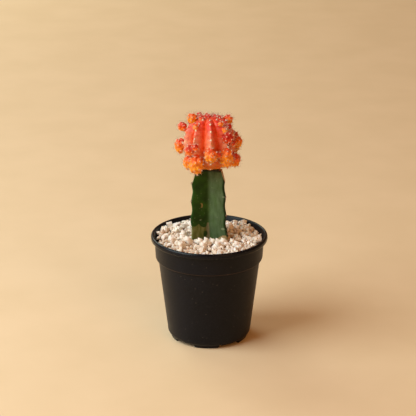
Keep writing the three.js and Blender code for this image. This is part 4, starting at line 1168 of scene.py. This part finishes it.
def spineTree():
    tree, given = newTree("spineClusters", {
        "Spines": ("Int", 5), "Length": ("Float", 2 * mm), "Thickness": ("Float", 0.15 * mm),
        "Flattest": ("Float", 1.3), "Steepest": ("Float", 0.35), "Bend": ("Float", 0.25), "Seed": ("Int", 1),
        "Material": ("Material", None)})
    # One spine: a slim four-sided cone, 1 long
    cone = addNode(tree, "GeometryNodeMeshCone", {
        "Vertices": 4, "Side Segments": 4, "Radius Top": 0.06, "Radius Bottom": 1.0, "Depth": 1.0})
    here = addNode(tree, "GeometryNodeInputPosition")
    along = addNode(tree, "ShaderNodeSeparateXYZ", {0: here}).outputs["Z"]
    kept = addNode(tree, "GeometryNodeStoreNamedAttribute",
                   {"Geometry": cone, "Name": "along", "Value": along}, data_type="FLOAT", domain="POINT")
    own = addNode(tree, "GeometryNodeInputNamedAttribute", {"Name": "size"}, data_type="FLOAT")
    outward = addNode(tree, "GeometryNodeInputNamedAttribute", {"Name": "outward"}, data_type="FLOAT_VECTOR")
    points = addNode(tree, "GeometryNodeMeshToPoints", {"Mesh": given["Geometry"]})
    copies = addNode(tree, "GeometryNodeDuplicateElements", {"Geometry": points, "Amount": given["Spines"]},
                     domain="POINT")
    aimed = addNode(tree, "FunctionNodeAlignRotationToVector", {"Vector": outward}, axis="Z")
    # Copies of one areole are spread round it by the golden angle, from flat out to nearly upright
    golden = addNode(tree, "ShaderNodeMath", {0: copies.outputs["Duplicate Index"], 1: goldenAngle},
                     operation="MULTIPLY")
    loose = addNode(tree, "FunctionNodeRandomValue", {2: -0.6, 3: 0.6, "Seed": given["Seed"]},
                    data_type="FLOAT")
    spin = addNode(tree, "ShaderNodeMath", {0: golden, 1: loose})
    tilt = addNode(tree, "FunctionNodeRandomValue", {2: given["Steepest"], 3: given["Flattest"], "Seed": 3},
                   data_type="FLOAT")
    turned = aimed
    for axis, angle in (((0.0, 0.0, 1.0), spin), ((1.0, 0.0, 0.0), tilt)):
        turn = addNode(tree, "FunctionNodeAxisAngleToRotation", {0: axis, 1: angle})
        turned = addNode(tree, "FunctionNodeRotateRotation", {0: turned, 1: turn}, rotation_space="LOCAL")
    grown = addNode(tree, "FunctionNodeRandomValue", {2: 0.6, 3: 1.15, "Seed": 4}, data_type="FLOAT")
    sized = addNode(tree, "ShaderNodeMath", {0: grown, 1: own}, operation="MULTIPLY")
    length = addNode(tree, "ShaderNodeMath", {0: sized, 1: given["Length"]}, operation="MULTIPLY")
    scale = addNode(tree, "ShaderNodeCombineXYZ", {0: given["Thickness"], 1: given["Thickness"], 2: length})
    placed = addNode(tree, "GeometryNodeInstanceOnPoints",
                     {"Points": copies, "Instance": kept, "Rotation": turned, "Scale": scale})
    tone = addNode(tree, "FunctionNodeRandomValue", {2: 0.0, 3: 1.0, "Seed": 8}, data_type="FLOAT")
    toned = addNode(tree, "GeometryNodeStoreNamedAttribute",
                    {"Geometry": placed, "Name": "tone", "Value": tone}, data_type="FLOAT", domain="INSTANCE")
    real = addNode(tree, "GeometryNodeRealizeInstances", {0: toned})
    # Spines bend over to one side, by the square of the way to their point
    way = addNode(tree, "GeometryNodeInputNamedAttribute", {"Name": "along"}, data_type="FLOAT")
    waySquare = addNode(tree, "ShaderNodeMath", {0: way, 1: way}, operation="MULTIPLY")
    reach = addNode(tree, "ShaderNodeMath", {0: given["Bend"], 1: given["Length"]}, operation="MULTIPLY")
    curl = addNode(tree, "ShaderNodeMath", {0: waySquare, 1: reach}, operation="MULTIPLY")
    toneBack = addNode(tree, "GeometryNodeInputNamedAttribute", {"Name": "tone"}, data_type="FLOAT")
    heading = addNode(tree, "ShaderNodeMath", {0: toneBack, 1: 37.0}, operation="MULTIPLY")
    sideX = addNode(tree, "ShaderNodeMath", {0: heading}, operation="COSINE")
    sideY = addNode(tree, "ShaderNodeMath", {0: heading}, operation="SINE")
    heads = addNode(tree, "ShaderNodeCombineXYZ", {0: sideX, 1: sideY, 2: 0.4})
    bent = addNode(tree, "ShaderNodeVectorMath", {0: heads, "Scale": curl}, operation="SCALE")
    curled = addNode(tree, "GeometryNodeSetPosition", {"Geometry": real, "Offset": bent})
    dressed = addNode(tree, "GeometryNodeSetMaterial", {"Geometry": curled, "Material": given["Material"]})
    addNode(tree, "NodeGroupOutput", {"Geometry": dressed})
    return tree


def woolTree():
    tree, given = newTree("woolTufts", {
        "Radius": ("Float", 0.5 * mm), "Flatness": ("Float", 0.65), "Rise": ("Float", 0.2),
        "Tufted": ("Float", 0.3), "Seed": ("Int", 1), "Material": ("Material", None)})
    tuft = addNode(tree, "GeometryNodeMeshIcoSphere", {"Radius": 1.0, "Subdivisions": 2})
    own = addNode(tree, "GeometryNodeInputNamedAttribute", {"Name": "size"}, data_type="FLOAT")
    outward = addNode(tree, "GeometryNodeInputNamedAttribute", {"Name": "outward"}, data_type="FLOAT_VECTOR")
    points = addNode(tree, "GeometryNodeMeshToPoints", {"Mesh": given["Geometry"]})
    aimed = addNode(tree, "FunctionNodeAlignRotationToVector", {"Vector": outward}, axis="Z")
    grown = addNode(tree, "FunctionNodeRandomValue", {2: 0.75, 3: 1.2, "Seed": given["Seed"]},
                    data_type="FLOAT")
    sized = addNode(tree, "ShaderNodeMath", {0: grown, 1: own}, operation="MULTIPLY")
    radius = addNode(tree, "ShaderNodeMath", {0: sized, 1: given["Radius"]}, operation="MULTIPLY")
    flat = addNode(tree, "ShaderNodeMath", {0: radius, 1: given["Flatness"]}, operation="MULTIPLY")
    scale = addNode(tree, "ShaderNodeCombineXYZ", {0: radius, 1: radius, 2: flat})
    lift = addNode(tree, "ShaderNodeMath", {0: radius, 1: given["Rise"]}, operation="MULTIPLY")
    up = addNode(tree, "ShaderNodeVectorMath", {0: outward, "Scale": lift}, operation="SCALE")
    raised = addNode(tree, "GeometryNodeSetPosition", {"Geometry": points, "Offset": up})
    placed = addNode(tree, "GeometryNodeInstanceOnPoints",
                     {"Points": raised, "Instance": tuft, "Rotation": aimed, "Scale": scale})
    real = addNode(tree, "GeometryNodeRealizeInstances", {0: placed})
    # Matted hairs make every tuft ragged
    throw = addNode(tree, "FunctionNodeRandomValue", {0: (-1, -1, -1), 1: (1, 1, 1), "Seed": 2},
                    data_type="FLOAT_VECTOR")
    amount = addNode(tree, "ShaderNodeMath", {0: given["Radius"], 1: given["Tufted"]}, operation="MULTIPLY")
    thrown = addNode(tree, "ShaderNodeVectorMath", {0: throw, "Scale": amount}, operation="SCALE")
    ragged = addNode(tree, "GeometryNodeSetPosition", {"Geometry": real, "Offset": thrown})
    dressed = addNode(tree, "GeometryNodeSetMaterial", {"Geometry": ragged, "Material": given["Material"]})
    addNode(tree, "NodeGroupOutput", {"Geometry": dressed})
    return tree


# Spines: horny and dry, pale at the root and grey brown at the point
def drySpine(name, tones):
    material, tree, shader = newMaterial(name)
    place = addNode(tree, "ShaderNodeTexCoord").outputs["Object"]
    given = {name: addNode(tree, "ShaderNodeAttribute", attribute_name=name).outputs["Fac"]
             for name in ("along", "tone")}
    length = addNode(tree, "ShaderNodeValToRGB", {"Fac": given["along"]}, stops=tones)
    darker = addNode(tree, "ShaderNodeMapRange", {0: given["tone"], 1: 0.55, 2: 1.0, 3: 0.0, 4: 0.4})
    mixed = addNode(tree, "ShaderNodeMix", {0: darker, 6: length, 7: "#9C7C62"}, data_type="RGBA")
    fibre = addNode(tree, "ShaderNodeTexNoise", {"Vector": place, "Scale": perMm(0.3), "Detail": 2.0})
    rough = addNode(tree, "ShaderNodeMapRange", {0: fibre, 3: 0.5, 4: 0.75})
    connect(tree, shader, {"Base Color": mixed, "Roughness": rough})
    return material


# Wool: matted plant hair, off-white and dull, that glows a little at its rim
def areoleFelt(name, pale, dark):
    material, tree, shader = newMaterial(name)
    place = addNode(tree, "ShaderNodeTexCoord").outputs["Object"]
    hair = addNode(tree, "ShaderNodeTexNoise", {"Vector": place, "Scale": perMm(0.25), "Detail": 4.0})
    tone = addNode(tree, "ShaderNodeValToRGB", {"Fac": hair}, stops=[(0.35, dark), (0.65, pale)])
    bump = addNode(tree, "ShaderNodeBump", {"Height": hair, "Strength": 0.6, "Distance": 0.08 * mm})
    connect(tree, shader, {"Base Color": tone, "Roughness": 0.95, "Sheen Weight": 0.4,
                           "Normal": bump})
    return material


def areoleMesh(name, areoles):
    mesh = meshFrom(name, [place * mm for place, *_ in areoles], [])
    storeOnPoints(mesh, "outward", [tuple(outward) for _, outward, _ in areoles], "FLOAT_VECTOR")
    storeOnPoints(mesh, "size", [size for *_, size in areoles])
    return mesh


def addPiece(piece, slot, *nodes):
    if nodes:
        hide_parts(*nodes)
    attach(piece, "root")
    print(piece.name, "made", len(piece.data.polygons))


scionPiece, offsets = makeScion(juicyFlesh())
markScion(scionPiece, offsets)
addPiece(scionPiece, "scion_flesh", "grafted_head")
areoles = scionAreoles(scionPiece, offsets)
onRibs = [a for a in areoles if a[2] == 1.0]
onOffsets = [a for a in areoles if a[2] < 1.0]
print("areoles", len(onRibs), len(onOffsets))
spines, wool = spineTree(), woolTree()
straw = drySpine("dryStrawSpine", [(0.0, "#EBD8C0"), (0.55, "#D2BBA0"), (1.0, "#8E7866")])
paleSpine = drySpine("dryWhiteSpine",
                     [(0.0, "#FFEADC"), (0.5, "#ECD0BC"), (0.72, "#967A68"), (1.0, "#58423A")])
brownSpine = drySpine("dryBrownSpine", [(0.0, "#8C6A52"), (0.6, "#6A4C3A"), (1.0, "#3E2C22")])
felt = areoleFelt("mattedAreoleWool", "#FFF4E6", "#F0D6BC")
pinkFelt = areoleFelt("mattedOffsetWool", "#FFE2CF", "#FFC2A4")
brownFelt = areoleFelt("mattedStockWool", "#B5907A", "#7E5F4C")
addPiece(growPiece("ribSpines", areoleMesh("ribAreoles", onRibs), spines, {
    "Spines": 6, "Length": 2.3 * mm, "Thickness": 0.13 * mm, "Bend": 0.3, "Seed": 1,
    "Material": straw}), "scion_flesh")
addPiece(growPiece("offsetSpines", areoleMesh("offsetAreoles", onOffsets), spines, {
    "Spines": 5, "Length": 3.5 * mm, "Thickness": 0.1 * mm, "Bend": 0.25, "Seed": 2, "Flattest": 1.2,
    "Material": paleSpine}), "scion_flesh")
addPiece(growPiece("ribWool", areoleMesh("ribAreoles", onRibs), wool, {
    "Radius": 0.55 * mm, "Seed": 3, "Material": felt}), "scion_flesh")
addPiece(growPiece("offsetWool", areoleMesh("offsetAreoles", onOffsets), wool, {
    "Radius": 0.5 * mm, "Seed": 4, "Material": pinkFelt}), "scion_flesh")


# The stock's areoles sit on the swellings of its ribs, each with brown felt and a few short spines
def stockAreoles():
    made = []
    for rib in range(stock["ribs"]):
        angle = math.radians(stock["firstRib"] + rib * 360 / stock["ribs"])
        outward = Vector((math.cos(angle), math.sin(angle), 0.15)).normalized()
        for step in range(-1, 2):
            z = stock["waveCrests"][rib] + step * stock["wavePitch"]
            if z < stock["top"] - stock["bareTop"]:
                tip = ribTip(rib, z) - 0.1
                place = Vector((stockAxis(z) + tip * math.cos(angle), tip * math.sin(angle), z))
                made.append((place, outward, 1.0))
    return made


onStock = stockAreoles()
addPiece(growPiece("stockWool", areoleMesh("stockAreoles", onStock), wool, {
    "Radius": 0.62 * mm, "Flatness": 0.5, "Rise": 0.1, "Seed": 6, "Material": brownFelt}), "stock_flesh")
addPiece(growPiece("stockSpines", areoleMesh("stockAreoles", onStock), spines, {
    "Spines": 4, "Length": 1.5 * mm, "Thickness": 0.12 * mm, "Bend": 0.1, "Seed": 7, "Flattest": 1.1,
    "Material": brownSpine}), "stock_flesh")
